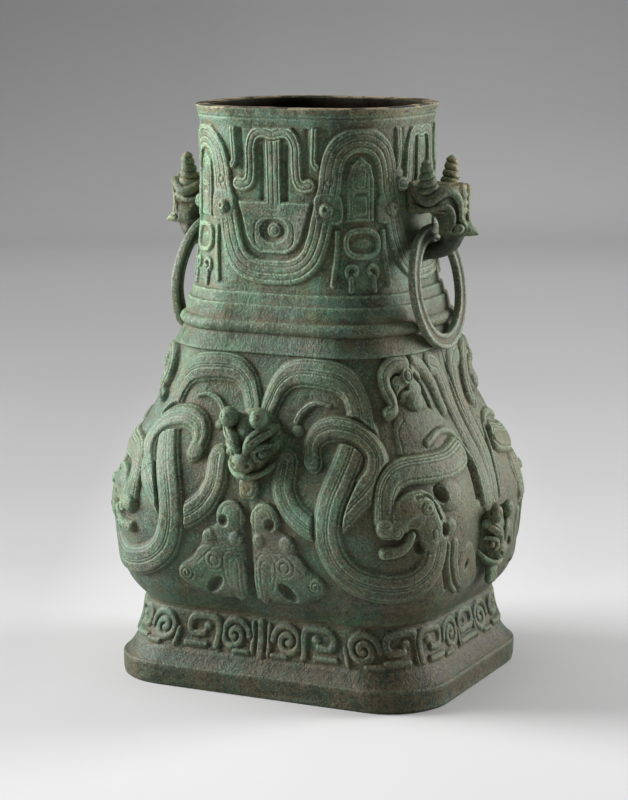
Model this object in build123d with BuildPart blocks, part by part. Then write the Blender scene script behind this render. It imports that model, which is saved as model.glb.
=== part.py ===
"""Bronze square wine vessel: bellied body on a stepped foot, two beast-head loop handles, two loose rings.

Millimetres, +Z up, base on z = 0. The wide face looks to -Y and the handles stand on the +X and -X faces.
"""
import os
from math import cos, pi, sin, sqrt

from build123d import *

os.makedirs("parts", exist_ok=True)

# Heights of the body's zones, from the ground up.
PLINTH_HEIGHT = 21.0
PLINTH_SLOPE_HEIGHT = 13.0
FOOT_HEIGHT = 39.0
BELLY_HEIGHT = 232.5
LOWER_BAND_HEIGHT = 16.5
ROPE_HEIGHT = 12.0
UPPER_BAND_HEIGHT = 14.0
STEP_HEIGHT = 10.0
NECK_HEIGHT = 142.0
LIP_HEIGHT = 20.0

# Half widths of the wide face at the levels that shape the outline.
PLINTH_BASE_HALF = 160.0
PLINTH_TOP_HALF = 161.5
FOOT_BASE_HALF = 151.0
FOOT_MID_HALF = 145.5
FOOT_TOP_HALF = 143.0
BELLY_TURN_HALF = 155.0
BELLY_LOW_HALF = 166.0
BELLY_MAX_HALF = 170.0
BELLY_SHOULDER_HALF = 154.0
BELLY_UPPER_HALF = 136.0
BELLY_TOP_HALF = 119.0
BAND_BASE_HALF = 122.0
BAND_TOP_HALF = 114.0
ROPE_HALF = 117.5
UPPER_BAND_BASE_HALF = 113.0
UPPER_BAND_TOP_HALF = 110.0
STEP_BASE_HALF = 108.0
STEP_TOP_HALF = 106.0
NECK_BASE_HALF = 103.5
NECK_LOW_HALF = 99.5
NECK_MID_HALF = 98.0
NECK_TOP_HALF = 99.0
LIP_HALF = 104.2

# Levels inside the belly, measured up from the foot's top edge.
BELLY_TURN_RISE = 13.0
BELLY_LOW_RISE = 50.0
BELLY_MAX_RISE = 88.0
BELLY_SHOULDER_RISE = 146.0
BELLY_UPPER_RISE = 180.0
NECK_LOW_RISE = 38.0
NECK_MID_RISE = 75.0
FOOT_MID_RISE = 16.0

# Plan shape: depth against width, and corner radius against half depth, from the base to the rim.
BASE_DEPTH_RATIO = 0.801
RIM_DEPTH_RATIO = 0.900
BASE_CORNER_RATIO = 0.45
FOOT_CORNER_RATIO = 0.54
BELLY_CORNER_RATIO = 0.665
RIM_CORNER_RATIO = 0.805

# Casting thicknesses.
BELLY_WALL = 6.0
NECK_WALL = 6.0
LIP_WIDTH = 12.5
FOOT_WALL = 9.0
FLOOR_THICKNESS = 7.0

# Relief, drawn once for a quarter of the body and mirrored to the others. Points are (run, height): run is
# measured along the wall at the zone's widest, from the middle of the wide face to the middle of the end.
BELLY_RUN = 276.0
SERPENT_RISE = 4.8
SERPENT_WIDTH = 25.5
SERPENT_PATH = [
    (8, 256), (13, 268), (24, 282), (46, 292), (82, 292), (106, 285), (118, 268), (114, 244), (98, 216),
    (82, 186), (78, 160), (88, 133), (108, 118), (132, 113), (154, 115), (171, 126), (178, 145), (176, 166),
]
LOOP_RISE = 5.8
LOOP_WIDTH = 22.0
LOOP_PATH = [
    (64, 210), (63, 228), (74, 241), (92, 245), (114, 238), (125, 221), (122, 202), (112, 186), (99, 176),
    (83, 167), (67, 163), (55, 168), (43, 178), (36, 195), (37, 216),
]
COLLAR_WIDTH = 21.0
COLLAR_PATH = [(129, 176), (131, 193), (139, 206), (153, 212), (176, 213), (204, 214), (230, 219)]
RIDGE_WIDTH = 8.0
RIDGE_PATH = [(186, 232), (203, 238), (220, 239), (234, 234), (244, 223), (253, 206), (257, 190), (258, 172)]
CREST_WIDTH = 15.0
CREST_PATH = [(197, 300), (214, 292), (228, 277), (236, 256)]
END_BODY_RISE = 3.2
END_BODY_WIDTH = 20.0
END_BODY_PATH = [(236, 296), (251, 291), (260, 276), (263, 245), (265, 210), (269, 172)]
CREATURE_RISE = 5.5
CREATURE_OUTLINE = [(2, 94), (2, 168), (14, 181), (28, 168), (42, 149), (57, 128), (71, 108), (40, 92)]
CORNER_HEAD_RISE = 7.5
LOWER_HEAD_OUTLINE = [
    (126, 152), (126, 174), (142, 190), (168, 196), (182, 184), (181, 160), (164, 144), (144, 141),
]
UPPER_HEAD_OUTLINE = [(170, 272), (168, 290), (176, 301), (192, 299), (206, 286), (206, 268), (190, 258)]
TRUNK_WIDTH = 13.0
TRUNK_PATH = [(180, 298), (164, 298), (153, 291), (152, 280), (157, 270), (157, 262), (149, 258)]
KNOB_RADIUS = 8.0
KNOB_PLACES = [(133, 168), (185, 192), (165, 180), (178, 288), (35, 126), (14, 150)]

NECK_RUN = 170.0
WAVE_RISE = 2.2
WAVE_WIDTH = 22.0
WAVE_PATH = [
    (0, 376), (22, 378), (38, 389), (47, 412), (55, 444), (60, 472), (70, 488), (86, 493),
    (102, 488), (112, 472), (117, 444), (125, 412), (134, 389), (148, 378), (170, 376),
]
HOOK_WIDTH = 12.0
HOOK_PATH = [(2, 496), (10, 497), (18, 493), (21, 482), (21, 468), (23, 458), (30, 454), (38, 460)]
STEM_OUTLINE = [(-6.5, 437), (6.5, 437), (6.5, 498), (-6.5, 498)]
PLATE_OUTLINE = [(-39, 438), (39, 438), (32, 414), (23, 397), (13, 392), (-13, 392), (-23, 397), (-32, 414)]
TONGUE_OUTLINE = [(73, 422), (73, 460), (86, 479), (99, 460), (99, 422)]

# Beast masks standing out of the belly on the middle of each face.
MASK_WIDTH = 58.0
MASK_HEIGHT = 62.0
MASK_BROW_WIDTH = 48.0
MASK_BROW_HEIGHT = 50.0
MASK_NOSE_WIDTH = 29.0
MASK_NOSE_HEIGHT = 29.0
MASK_CORNER = 14.0
MASK_ROOT = 24.0
WIDE_MASK_PROUD = 34.0
END_MASK_PROUD = 17.0
MASK_BROW_SHARE = 0.62
MASK_HORN_SHARE = 0.80
MASK_EYE_SHARE = 0.82
MASK_NOSE_DROP = 9.0
MASK_HORN_RADIUS = 8.5
MASK_HORN_SPREAD = 15.5
MASK_HORN_LIFT = 26.0
MASK_EYE_RADIUS = 5.5
MASK_EYE_SPREAD = 14.0
MASK_EYE_LIFT = 4.0
WIDE_MASK_Z = 231.0
END_MASK_Z = 139.0

# Casting spacers left in the floor.
SPACER_SIDE = 9.0
SPACER_PITCH_X = 150.0
SPACER_PITCH_Y = 110.0

# Handles: side outline seen along Y, with the loop's hole against the neck.
SEAT_X = 103.0
SEAT_UPPER_Z = 436.5
SEAT_UPPER_HEIGHT = 28.0
SEAT_LOWER_Z = 392.0
SEAT_LOWER_HEIGHT = 21.0
SEAT_DEPTH = 8.0
TENON_SIDE = 12.0
TENON_LENGTH = 9.0
LOOP_HOLE_X = 111.0
LOOP_HOLE_Z = 413.0
LOOP_HOLE_RADIUS = 12.5
JAW_WIDTH = 24.0
JAW_ROUND = 6.5
JAW_MID_X = 125.0
JAW_MID_Z = 388.0
CHIN_X = 142.0
CHIN_Z = 407.0
HEAD_WIDTH = 60.0
HEAD_ROOT_WIDTH = 40.0
HEAD_HEIGHT = 34.0
HEAD_ROOT_HEIGHT = 28.0
HEAD_MID_Z = 436.0
HEAD_CORNER = 8.0
FACE_X = 145.0
SNOUT_ROOT_X = 128.0
SNOUT_ROOT_Z = 430.0
SNOUT_ROOT_WIDTH = 48.0
SNOUT_ROOT_HEIGHT = 24.0
SNOUT_MID_X = 143.0
SNOUT_MID_Z = 419.0
SNOUT_MID_WIDTH = 38.0
SNOUT_MID_HEIGHT = 15.0
SNOUT_TIP_X = 155.0
SNOUT_TIP_Z = 408.0
SNOUT_TIP_WIDTH = 18.0
SNOUT_TIP_HEIGHT = 4.0
SNOUT_CORNER = 6.0
SNOUT_TIP_CORNER = 1.8
BROW_THICKNESS = 5.0
BROW_LENGTH = 20.0
BROW_DROP = 18.0
BROW_Y = 26.0
BROW_PROUD = 6.0
BROW_CORNER = 4.0
EYE_X = 129.0
EYE_Z = 427.0
EYE_RADIUS = 5.0
CORE_HEIGHT = 14.0
CORE_ROOT_WIDTH = 26.0
CORE_MID_WIDTH = 44.0
CORE_FACE_X = 137.0
CORE_FACE_WIDTH = 30.0
CORE_CORNER = 4.0

# Spiral horns.
HORN_X = 120.0
HORN_Y = 24.0
HORN_SEAT_Z = 449.0
HORN_BASE_RADIUS = 11.0
HORN_TIP_RADIUS = 3.5
HORN_HEIGHT = 29.0
HORN_WHORLS = 5
HORN_GROOVE = 1.8
HORN_SPLAY = 6.0
HORN_PIN_RADIUS = 3.0
HORN_PIN_LENGTH = 5.0

# Loose rings.
RING_OUTER_RADIUS = 56.0
RING_INNER_RADIUS = 42.5
RING_THICKNESS = 7.0
RING_GROOVE_WIDTH = 5.0
RING_GROOVE_DEPTH = 1.4
RING_EDGE = 1.2
RING_PIVOT_X = 111.0
RING_LEAN = 8.4
RING_CLEARANCE = 0.9

PLINTH_TOP_Z = PLINTH_HEIGHT
FOOT_BASE_Z = PLINTH_TOP_Z + PLINTH_SLOPE_HEIGHT
FOOT_TOP_Z = FOOT_BASE_Z + FOOT_HEIGHT
BAND_BASE_Z = FOOT_TOP_Z + BELLY_HEIGHT
ROPE_BASE_Z = BAND_BASE_Z + LOWER_BAND_HEIGHT
ROPE_TOP_Z = ROPE_BASE_Z + ROPE_HEIGHT
STEP_BASE_Z = ROPE_TOP_Z + UPPER_BAND_HEIGHT
NECK_BASE_Z = STEP_BASE_Z + STEP_HEIGHT
LIP_BASE_Z = NECK_BASE_Z + NECK_HEIGHT
TOP_Z = LIP_BASE_Z + LIP_HEIGHT
FLOOR_TOP_Z = FOOT_TOP_Z + FLOOR_THICKNESS
RING_MID_RADIUS = (RING_OUTER_RADIUS + RING_INNER_RADIUS) / 2
RING_WIDTH = RING_OUTER_RADIUS - RING_INNER_RADIUS
RING_PIVOT_Z = LOOP_HOLE_Z - LOOP_HOLE_RADIUS + RING_CLEARANCE + RING_WIDTH / 2


CORNER_RATIOS = [
    (0.0, BASE_CORNER_RATIO),
    (FOOT_TOP_Z, FOOT_CORNER_RATIO),
    (FOOT_TOP_Z + BELLY_MAX_RISE, BELLY_CORNER_RATIO),
    (TOP_Z, RIM_CORNER_RATIO),
]


def between(z, levels):
    """Value at height z, straight between the given levels."""
    for (low, low_value), (high, high_value) in zip(levels, levels[1:]):
        if z <= high:
            return low_value + (high_value - low_value) * (z - low) / (high - low)
    return levels[-1][1]


def plan_sizes(z, half_width):
    """Half depth and corner radius of the body's plan at height z."""
    share = z / TOP_Z
    half_depth = half_width * (BASE_DEPTH_RATIO + (RIM_DEPTH_RATIO - BASE_DEPTH_RATIO) * share)
    corner = half_depth * between(z, CORNER_RATIOS)
    return half_depth, corner


def plan(z, half_width, inset=0.0):
    """Rounded rectangle of the body at height z, drawn in from its outer face by inset."""
    half_depth, corner = plan_sizes(z, half_width)
    with BuildSketch(Plane.XY.offset(z)) as outline:
        RectangleRounded(2 * (half_width - inset), 2 * (half_depth - inset), corner - inset)
    return outline.sketch


BELLY_LEVELS = [
    (FOOT_TOP_Z, FOOT_TOP_HALF),
    (FOOT_TOP_Z + BELLY_TURN_RISE, BELLY_TURN_HALF),
    (FOOT_TOP_Z + BELLY_LOW_RISE, BELLY_LOW_HALF),
    (FOOT_TOP_Z + BELLY_MAX_RISE, BELLY_MAX_HALF),
    (FOOT_TOP_Z + BELLY_SHOULDER_RISE, BELLY_SHOULDER_HALF),
    (FOOT_TOP_Z + BELLY_UPPER_RISE, BELLY_UPPER_HALF),
    (BAND_BASE_Z, BELLY_TOP_HALF),
]
FOOT_LEVELS = [
    (FOOT_BASE_Z, FOOT_BASE_HALF),
    (FOOT_BASE_Z + FOOT_MID_RISE, FOOT_MID_HALF),
    (FOOT_TOP_Z, FOOT_TOP_HALF),
]
NECK_LEVELS = [
    (NECK_BASE_Z, NECK_BASE_HALF),
    (NECK_BASE_Z + NECK_LOW_RISE, NECK_LOW_HALF),
    (NECK_BASE_Z + NECK_MID_RISE, NECK_MID_HALF),
    (LIP_BASE_Z, NECK_TOP_HALF),
]
STRAIGHT_ZONES = [
    ((0.0, PLINTH_BASE_HALF), (PLINTH_TOP_Z, PLINTH_TOP_HALF)),
    ((PLINTH_TOP_Z, PLINTH_TOP_HALF), (FOOT_BASE_Z, FOOT_BASE_HALF)),
    ((BAND_BASE_Z, BAND_BASE_HALF), (ROPE_BASE_Z, BAND_TOP_HALF)),
    ((ROPE_BASE_Z, BAND_TOP_HALF), (ROPE_BASE_Z + ROPE_HEIGHT / 2, ROPE_HALF)),
    ((ROPE_BASE_Z + ROPE_HEIGHT / 2, ROPE_HALF), (ROPE_TOP_Z, UPPER_BAND_BASE_HALF)),
    ((ROPE_TOP_Z, UPPER_BAND_BASE_HALF), (STEP_BASE_Z, UPPER_BAND_TOP_HALF)),
    ((STEP_BASE_Z, STEP_BASE_HALF), (NECK_BASE_Z, STEP_TOP_HALF)),
    ((LIP_BASE_Z, NECK_TOP_HALF), (TOP_Z, LIP_HALF)),
]


def on_wall(run, z, levels, full_run):
    """Place in plan of the point that lies run along the wall at height z."""
    half = between(z, levels)
    depth, corner = plan_sizes(z, half)
    flat = half - corner
    bend = corner * pi / 2
    along = run / full_run * (flat + bend + depth - corner)
    if along < flat:
        return along, -depth
    if along < flat + bend:
        turn = (along - flat) / corner
        return flat + corner * sin(turn), corner - depth - corner * cos(turn)
    return half, along - flat - bend - depth + corner


def facing_corner(run, z, levels, full_run):
    """The same point on the upright plane that faces the quarter's corner."""
    x, y = on_wall(run, z, levels, full_run)
    return (x + y) * sqrt(0.5), z


def strand_edges(path, width, levels, full_run):
    """The two edges of a strand that follows path."""
    left = []
    right = []
    last = len(path) - 1
    for i, (run, z) in enumerate(path):
        before = path[max(i - 1, 0)]
        after = path[min(i + 1, last)]
        d_run = after[0] - before[0]
        d_z = after[1] - before[1]
        step = width / 2 / sqrt(d_run * d_run + d_z * d_z)
        left.append(facing_corner(run - d_z * step, z + d_run * step, levels, full_run))
        right.append(facing_corner(run + d_z * step, z - d_run * step, levels, full_run))
    return left, right


CORNER_PLANE = Plane((0, 0, 0), x_dir=(1, 1, 0), z_dir=(1, -1, 0))


def relief(strands, outlines, plates, rise, levels, full_run):
    """Strands, soft patches and straight plates pushed out to a skin that stands rise outside the wall."""
    with BuildPart() as raised:
        with BuildSketch(CORNER_PLANE):
            for path, width in strands:
                left, right = strand_edges(path, width, levels, full_run)
                with BuildLine():
                    left_edge = Spline(*left)
                    right_edge = Spline(*right)
                    Line(left_edge @ 0, right_edge @ 0)
                    Line(left_edge @ 1, right_edge @ 1)
                make_face()
            for outline in outlines:
                with BuildLine():
                    Spline(*[facing_corner(run, z, levels, full_run) for run, z in outline], periodic=True)
                make_face()
            for plate in plates:
                with BuildLine():
                    Polyline(*[facing_corner(run, z, levels, full_run) for run, z in plate], close=True)
                make_face()
        extrude(amount=2 * BELLY_MAX_HALF)
        loft([plan(z, half, -rise) for z, half in levels], mode=Mode.INTERSECT)
    return raised.part


def mask(plane, proud):
    """Beast mask on a plane that lies on the wall and faces out."""
    with BuildPart() as beast:
        with BuildSketch(plane.offset(-MASK_ROOT)):
            RectangleRounded(MASK_WIDTH, MASK_HEIGHT, MASK_CORNER)
        with BuildSketch(plane.offset(proud * MASK_BROW_SHARE)):
            RectangleRounded(MASK_BROW_WIDTH, MASK_BROW_HEIGHT, MASK_CORNER)
        with BuildSketch(plane.offset(proud)):
            with Locations((0, -MASK_NOSE_DROP)):
                RectangleRounded(MASK_NOSE_WIDTH, MASK_NOSE_HEIGHT, MASK_CORNER)
        loft(ruled=True)
        for side in (-1, 1):
            with Locations(plane.offset(proud * MASK_HORN_SHARE)):
                with Locations((side * MASK_HORN_SPREAD, MASK_HORN_LIFT, 0)):
                    Sphere(MASK_HORN_RADIUS)
            with Locations(plane.offset(proud * MASK_EYE_SHARE)):
                with Locations((side * MASK_EYE_SPREAD, MASK_EYE_LIFT, 0)):
                    Sphere(MASK_EYE_RADIUS)
    return beast.part


def past_end(points):
    """The same points set off from the middle of the end instead of the middle of the wide face."""
    return [(NECK_RUN - run, z) for run, z in points]


wide_depth = plan_sizes(WIDE_MASK_Z, between(WIDE_MASK_Z, BELLY_LEVELS))[0]
end_half = between(END_MASK_Z, BELLY_LEVELS)
serpents = [
    (SERPENT_PATH, SERPENT_WIDTH),
    (COLLAR_PATH, COLLAR_WIDTH),
    (RIDGE_PATH, RIDGE_WIDTH),
    (CREST_PATH, CREST_WIDTH),
]
neck_strands = [
    (WAVE_PATH, WAVE_WIDTH),
    (HOOK_PATH, HOOK_WIDTH),
    (past_end(HOOK_PATH), HOOK_WIDTH),
]
neck_plates = [PLATE_OUTLINE, STEM_OUTLINE, past_end(STEM_OUTLINE), TONGUE_OUTLINE]
corner_heads = [LOWER_HEAD_OUTLINE, UPPER_HEAD_OUTLINE]
relief_pieces = [
    relief(serpents, [], [], SERPENT_RISE, BELLY_LEVELS, BELLY_RUN),
    relief([(END_BODY_PATH, END_BODY_WIDTH)], [], [], END_BODY_RISE, BELLY_LEVELS, BELLY_RUN),
    relief([(LOOP_PATH, LOOP_WIDTH)], [], [], LOOP_RISE, BELLY_LEVELS, BELLY_RUN),
    relief([], [CREATURE_OUTLINE], [], CREATURE_RISE, BELLY_LEVELS, BELLY_RUN),
    relief([(TRUNK_PATH, TRUNK_WIDTH)], corner_heads, [], CORNER_HEAD_RISE, BELLY_LEVELS, BELLY_RUN),
    relief(neck_strands, [], neck_plates, WAVE_RISE, NECK_LEVELS, NECK_RUN),
    mask(Plane((0, -wide_depth, WIDE_MASK_Z), x_dir=(1, 0, 0), z_dir=(0, -1, 0)), WIDE_MASK_PROUD),
    mask(Plane((end_half, 0, END_MASK_Z), x_dir=(0, 1, 0), z_dir=(1, 0, 0)), END_MASK_PROUD),
]

with BuildPart() as quarter:
    for low, high in STRAIGHT_ZONES:
        loft([plan(*low), plan(*high)], ruled=True)
    for levels in (FOOT_LEVELS, BELLY_LEVELS, NECK_LEVELS):
        loft([plan(z, half) for z, half in levels])
    for piece in relief_pieces:
        add(piece)
    for run, z in KNOB_PLACES:
        x, y = on_wall(run, z, BELLY_LEVELS, BELLY_RUN)
        with Locations((x, y, z)):
            Sphere(KNOB_RADIUS)
    Box(
        2 * PLINTH_TOP_HALF,
        2 * PLINTH_TOP_HALF,
        TOP_Z,
        align=(Align.MIN, Align.MAX, Align.MIN),
        mode=Mode.INTERSECT,
    )

with BuildPart() as vessel_body:
    add(quarter.part)
    mirror(about=Plane.XZ)
    mirror(about=Plane.YZ)
    # Seats and tenons that the handles are cast onto.
    for side in (-1, 1):
        with Locations((side * (SEAT_X - SEAT_DEPTH / 2), 0, SEAT_UPPER_Z)):
            Box(SEAT_DEPTH, HEAD_ROOT_WIDTH, SEAT_UPPER_HEIGHT)
        with Locations((side * (SEAT_X - SEAT_DEPTH / 2), 0, SEAT_LOWER_Z)):
            Box(SEAT_DEPTH, JAW_WIDTH, SEAT_LOWER_HEIGHT)
        with Locations((side * SEAT_X, 0, SEAT_UPPER_Z)):
            Box(2 * TENON_LENGTH, TENON_SIDE, TENON_SIDE)
    # Hollow inside, from the floor to the mouth.
    inner_belly = [(FLOOR_TOP_Z, BELLY_TURN_HALF - BELLY_WALL)] + BELLY_LEVELS[2:]
    loft([plan(z, half, BELLY_WALL) for z, half in inner_belly], mode=Mode.SUBTRACT)
    loft(
        [plan(BAND_BASE_Z, BELLY_TOP_HALF, BELLY_WALL), plan(NECK_BASE_Z, NECK_BASE_HALF, NECK_WALL)],
        ruled=True,
        mode=Mode.SUBTRACT,
    )
    loft([plan(z, half, NECK_WALL) for z, half in NECK_LEVELS], mode=Mode.SUBTRACT)
    loft(
        [plan(LIP_BASE_Z, NECK_TOP_HALF, NECK_WALL), plan(TOP_Z, LIP_HALF, LIP_WIDTH)],
        ruled=True,
        mode=Mode.SUBTRACT,
    )
    # Open underside of the foot.
    loft(
        [plan(0.0, PLINTH_BASE_HALF, FOOT_WALL), plan(FOOT_TOP_Z, FOOT_TOP_HALF, FOOT_WALL)],
        ruled=True,
        mode=Mode.SUBTRACT,
    )
    # Places of the casting spacers.
    with Locations((0, 0, FOOT_TOP_Z)):
        with GridLocations(SPACER_PITCH_X, SPACER_PITCH_Y, 2, 2):
            Box(
                SPACER_SIDE,
                SPACER_SIDE,
                FLOOR_THICKNESS,
                align=(Align.CENTER, Align.CENTER, Align.MIN),
                mode=Mode.SUBTRACT,
            )
vessel_body.part.label = "vessel_body"
export_step(vessel_body.part, "parts/vessel_body.step")

with BuildPart() as floor_spacers:
    with Locations((0, 0, FOOT_TOP_Z)):
        with GridLocations(SPACER_PITCH_X, SPACER_PITCH_Y, 2, 2):
            Box(
                SPACER_SIDE,
                SPACER_SIDE,
                FLOOR_THICKNESS,
                align=(Align.CENTER, Align.CENTER, Align.MIN),
            )
floor_spacers.part.label = "floor_spacers"
export_step(floor_spacers.part, "parts/floor_spacers.step")


def cross(x, z, width, height, corner):
    """Rounded rectangle across a handle at distance x from the vessel's axis."""
    with BuildSketch(Plane((x, 0, z), x_dir=(0, 1, 0), z_dir=(1, 0, 0))) as outline:
        RectangleRounded(width, height, corner)
    return outline.sketch


with BuildPart() as horn:
    with BuildSketch(Plane.XZ):
        with BuildLine():
            edge = [(0, -HORN_PIN_LENGTH), (HORN_PIN_RADIUS, -HORN_PIN_LENGTH), (HORN_PIN_RADIUS, 0)]
            pitch = HORN_HEIGHT / HORN_WHORLS
            for whorl in range(HORN_WHORLS):
                radius = HORN_BASE_RADIUS - (HORN_BASE_RADIUS - HORN_TIP_RADIUS) * whorl / (HORN_WHORLS - 1)
                edge.append((radius - HORN_GROOVE, whorl * pitch))
                edge.append((radius, whorl * pitch + pitch / 2))
            edge.append((0, HORN_HEIGHT))
            Polyline(*edge, close=True)
        make_face()
    revolve(axis=Axis.Z)

horn_front = Pos(HORN_X, -HORN_Y, HORN_SEAT_Z) * Rot(HORN_SPLAY, 0, 0) * horn.part
horn_back = mirror(horn_front, about=Plane.XZ)

with BuildPart() as handle_core:
    loft(
        [
            cross(SEAT_X + TENON_LENGTH, SEAT_UPPER_Z, CORE_ROOT_WIDTH, CORE_HEIGHT, CORE_CORNER),
            cross(HORN_X, SEAT_UPPER_Z, CORE_MID_WIDTH, CORE_HEIGHT, CORE_CORNER),
            cross(CORE_FACE_X, SEAT_UPPER_Z, CORE_FACE_WIDTH, CORE_HEIGHT, CORE_CORNER),
        ],
        ruled=True,
    )

with BuildPart() as jaw:
    # Lower jaw curling back under to the neck, with the hole that the ring hangs in.
    with BuildSketch(Plane.XZ):
        with BuildLine():
            jaw_edge = Spline(
                (SEAT_X, SEAT_LOWER_Z - SEAT_LOWER_HEIGHT / 2),
                (JAW_MID_X, JAW_MID_Z),
                (CHIN_X, CHIN_Z),
            )
            Polyline(jaw_edge @ 1, (CHIN_X, HEAD_MID_Z), (SEAT_X, HEAD_MID_Z), jaw_edge @ 0)
        make_face()
        with Locations((LOOP_HOLE_X, LOOP_HOLE_Z)):
            Circle(LOOP_HOLE_RADIUS, mode=Mode.SUBTRACT)
    extrude(amount=JAW_WIDTH / 2, both=True)
    rounds = jaw.edges().filter_by(lambda e: abs(e.center().Y) > JAW_WIDTH / 2 - 0.1)
    fillet(rounds.filter_by(GeomType.CIRCLE) + rounds.filter_by(GeomType.BSPLINE), JAW_ROUND)

with BuildPart() as handle:
    # Wide head on the neck.
    loft(
        [
            cross(SEAT_X, SEAT_UPPER_Z, HEAD_ROOT_WIDTH, HEAD_ROOT_HEIGHT, HEAD_CORNER),
            cross(HORN_X, HEAD_MID_Z, HEAD_WIDTH, HEAD_HEIGHT, HEAD_CORNER),
            cross(FACE_X, HEAD_MID_Z, HEAD_ROOT_WIDTH, HEAD_ROOT_HEIGHT, HEAD_CORNER),
        ],
        ruled=True,
    )
    # Snout running down to a flared lip.
    loft(
        [
            cross(SNOUT_ROOT_X, SNOUT_ROOT_Z, SNOUT_ROOT_WIDTH, SNOUT_ROOT_HEIGHT, SNOUT_CORNER),
            cross(SNOUT_MID_X, SNOUT_MID_Z, SNOUT_MID_WIDTH, SNOUT_MID_HEIGHT, SNOUT_CORNER),
            cross(SNOUT_TIP_X, SNOUT_TIP_Z, SNOUT_TIP_WIDTH, SNOUT_TIP_HEIGHT, SNOUT_TIP_CORNER),
        ],
        ruled=True,
    )
    with Locations(Plane((LOOP_HOLE_X, 0, LOOP_HOLE_Z), z_dir=(0, 1, 0))):
        Cylinder(LOOP_HOLE_RADIUS, 2 * HEAD_WIDTH, mode=Mode.SUBTRACT)
    add(jaw.part)
    # Hooked brow over each eye.
    for side in (-1, 1):
        with BuildSketch(Plane((EYE_X, side * BROW_Y, EYE_Z), x_dir=(1, 0, 0), z_dir=(0, -1, 0))):
            with BuildLine():
                brow = FilletPolyline(
                    (-BROW_LENGTH / 2, EYE_RADIUS + BROW_THICKNESS / 2),
                    (BROW_LENGTH / 2, EYE_RADIUS + BROW_THICKNESS / 2),
                    (BROW_LENGTH / 2, EYE_RADIUS + BROW_THICKNESS / 2 - BROW_DROP),
                    radius=BROW_CORNER,
                )
            trace(brow, BROW_THICKNESS)
        extrude(amount=BROW_PROUD, both=True)
        with Locations((EYE_X, side * BROW_Y, EYE_Z)):
            Sphere(EYE_RADIUS)
    # Pockets for the tenon, the horn pins and the fired clay left inside.
    with Locations((SEAT_X, 0, SEAT_UPPER_Z)):
        Box(2 * TENON_LENGTH, TENON_SIDE, TENON_SIDE, mode=Mode.SUBTRACT)
    add(handle_core.part, mode=Mode.SUBTRACT)
    add(horn_front, mode=Mode.SUBTRACT)
    add(horn_back, mode=Mode.SUBTRACT)

with BuildPart() as ring:
    with BuildSketch(Plane.XZ) as ring_section:
        with Locations((RING_MID_RADIUS, 0)):
            Rectangle(RING_WIDTH, RING_THICKNESS)
        chamfer(ring_section.vertices(), RING_EDGE)
        for face_z in (-RING_THICKNESS / 2, RING_THICKNESS / 2):
            with Locations((RING_MID_RADIUS, face_z)):
                Rectangle(RING_GROOVE_WIDTH, 2 * RING_GROOVE_DEPTH, mode=Mode.SUBTRACT)
    revolve(axis=Axis.Z)

# Each ring hangs in its loop and leans on the edge of the body's lower band.
hang = Pos(RING_PIVOT_X, 0, RING_PIVOT_Z) * Rot(0, -RING_LEAN, 0)
ring_right = hang * Pos(0, 0, -RING_MID_RADIUS) * Rot(0, 90, 0) * ring.part

right_pieces = {
    "handle": handle.part,
    "handle_core": handle_core.part,
    "horn_front": horn_front,
    "horn_back": horn_back,
    "ring": ring_right,
}
for name, piece in right_pieces.items():
    piece.label = name + "_right"
    export_step(piece, "parts/" + piece.label + ".step")
    left = mirror(piece, about=Plane.YZ)
    left.label = name + "_left"
    export_step(left, "parts/" + left.label + ".step")
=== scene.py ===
import math

import bpy
import numpy as np
from mathutils import Matrix


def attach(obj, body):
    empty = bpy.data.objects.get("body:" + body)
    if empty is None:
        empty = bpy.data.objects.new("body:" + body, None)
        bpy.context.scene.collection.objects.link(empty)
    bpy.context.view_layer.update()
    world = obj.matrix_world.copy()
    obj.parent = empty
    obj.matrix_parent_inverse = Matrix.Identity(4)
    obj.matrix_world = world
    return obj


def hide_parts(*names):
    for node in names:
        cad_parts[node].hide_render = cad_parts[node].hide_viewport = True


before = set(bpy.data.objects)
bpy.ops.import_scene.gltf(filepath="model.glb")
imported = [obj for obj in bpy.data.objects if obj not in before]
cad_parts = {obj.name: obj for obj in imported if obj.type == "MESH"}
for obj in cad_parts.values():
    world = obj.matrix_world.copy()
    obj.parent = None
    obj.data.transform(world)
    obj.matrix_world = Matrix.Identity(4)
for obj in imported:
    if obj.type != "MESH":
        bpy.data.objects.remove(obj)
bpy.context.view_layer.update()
MM = 0.001

# The body's plan and outline, in millimetres, as in the part's source.
TOP_Z = 520.0
BELLY_LEVELS = [(73, 143), (86, 155), (123, 166), (161, 170), (219, 154), (253, 136), (305.5, 119)]
FOOT_LEVELS = [(34, 151), (50, 145.5), (73, 143)]
NECK_LEVELS = [(358, 103.5), (396, 99.5), (433, 98), (500, 99)]
BELLY_RUN, NECK_RUN, FOOT_RUN = 276.0, 170.0, 250.0
BASE_HALF, UNDER_HALF, FLOOR_HALF, RIM_HALF = 160.0, 143.0, 152.0, 104.2
WALL, LIP, FOOT_WALL, FLOOR_Z, UNDER_Z = 6.0, 12.5, 9.0, 80.0, 73.0
# Points along a quarter of each row of the body's mesh, less one.
COLUMNS = 336


def plan_sizes(z, half):
    """Half depth and corner radius of the body's plan at height z."""
    depth = half * (0.801 + 0.099 * z / TOP_Z)
    return depth, depth * float(np.interp(z, (0, 73, 161, TOP_Z), (0.45, 0.54, 0.665, 0.805)))


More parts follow.
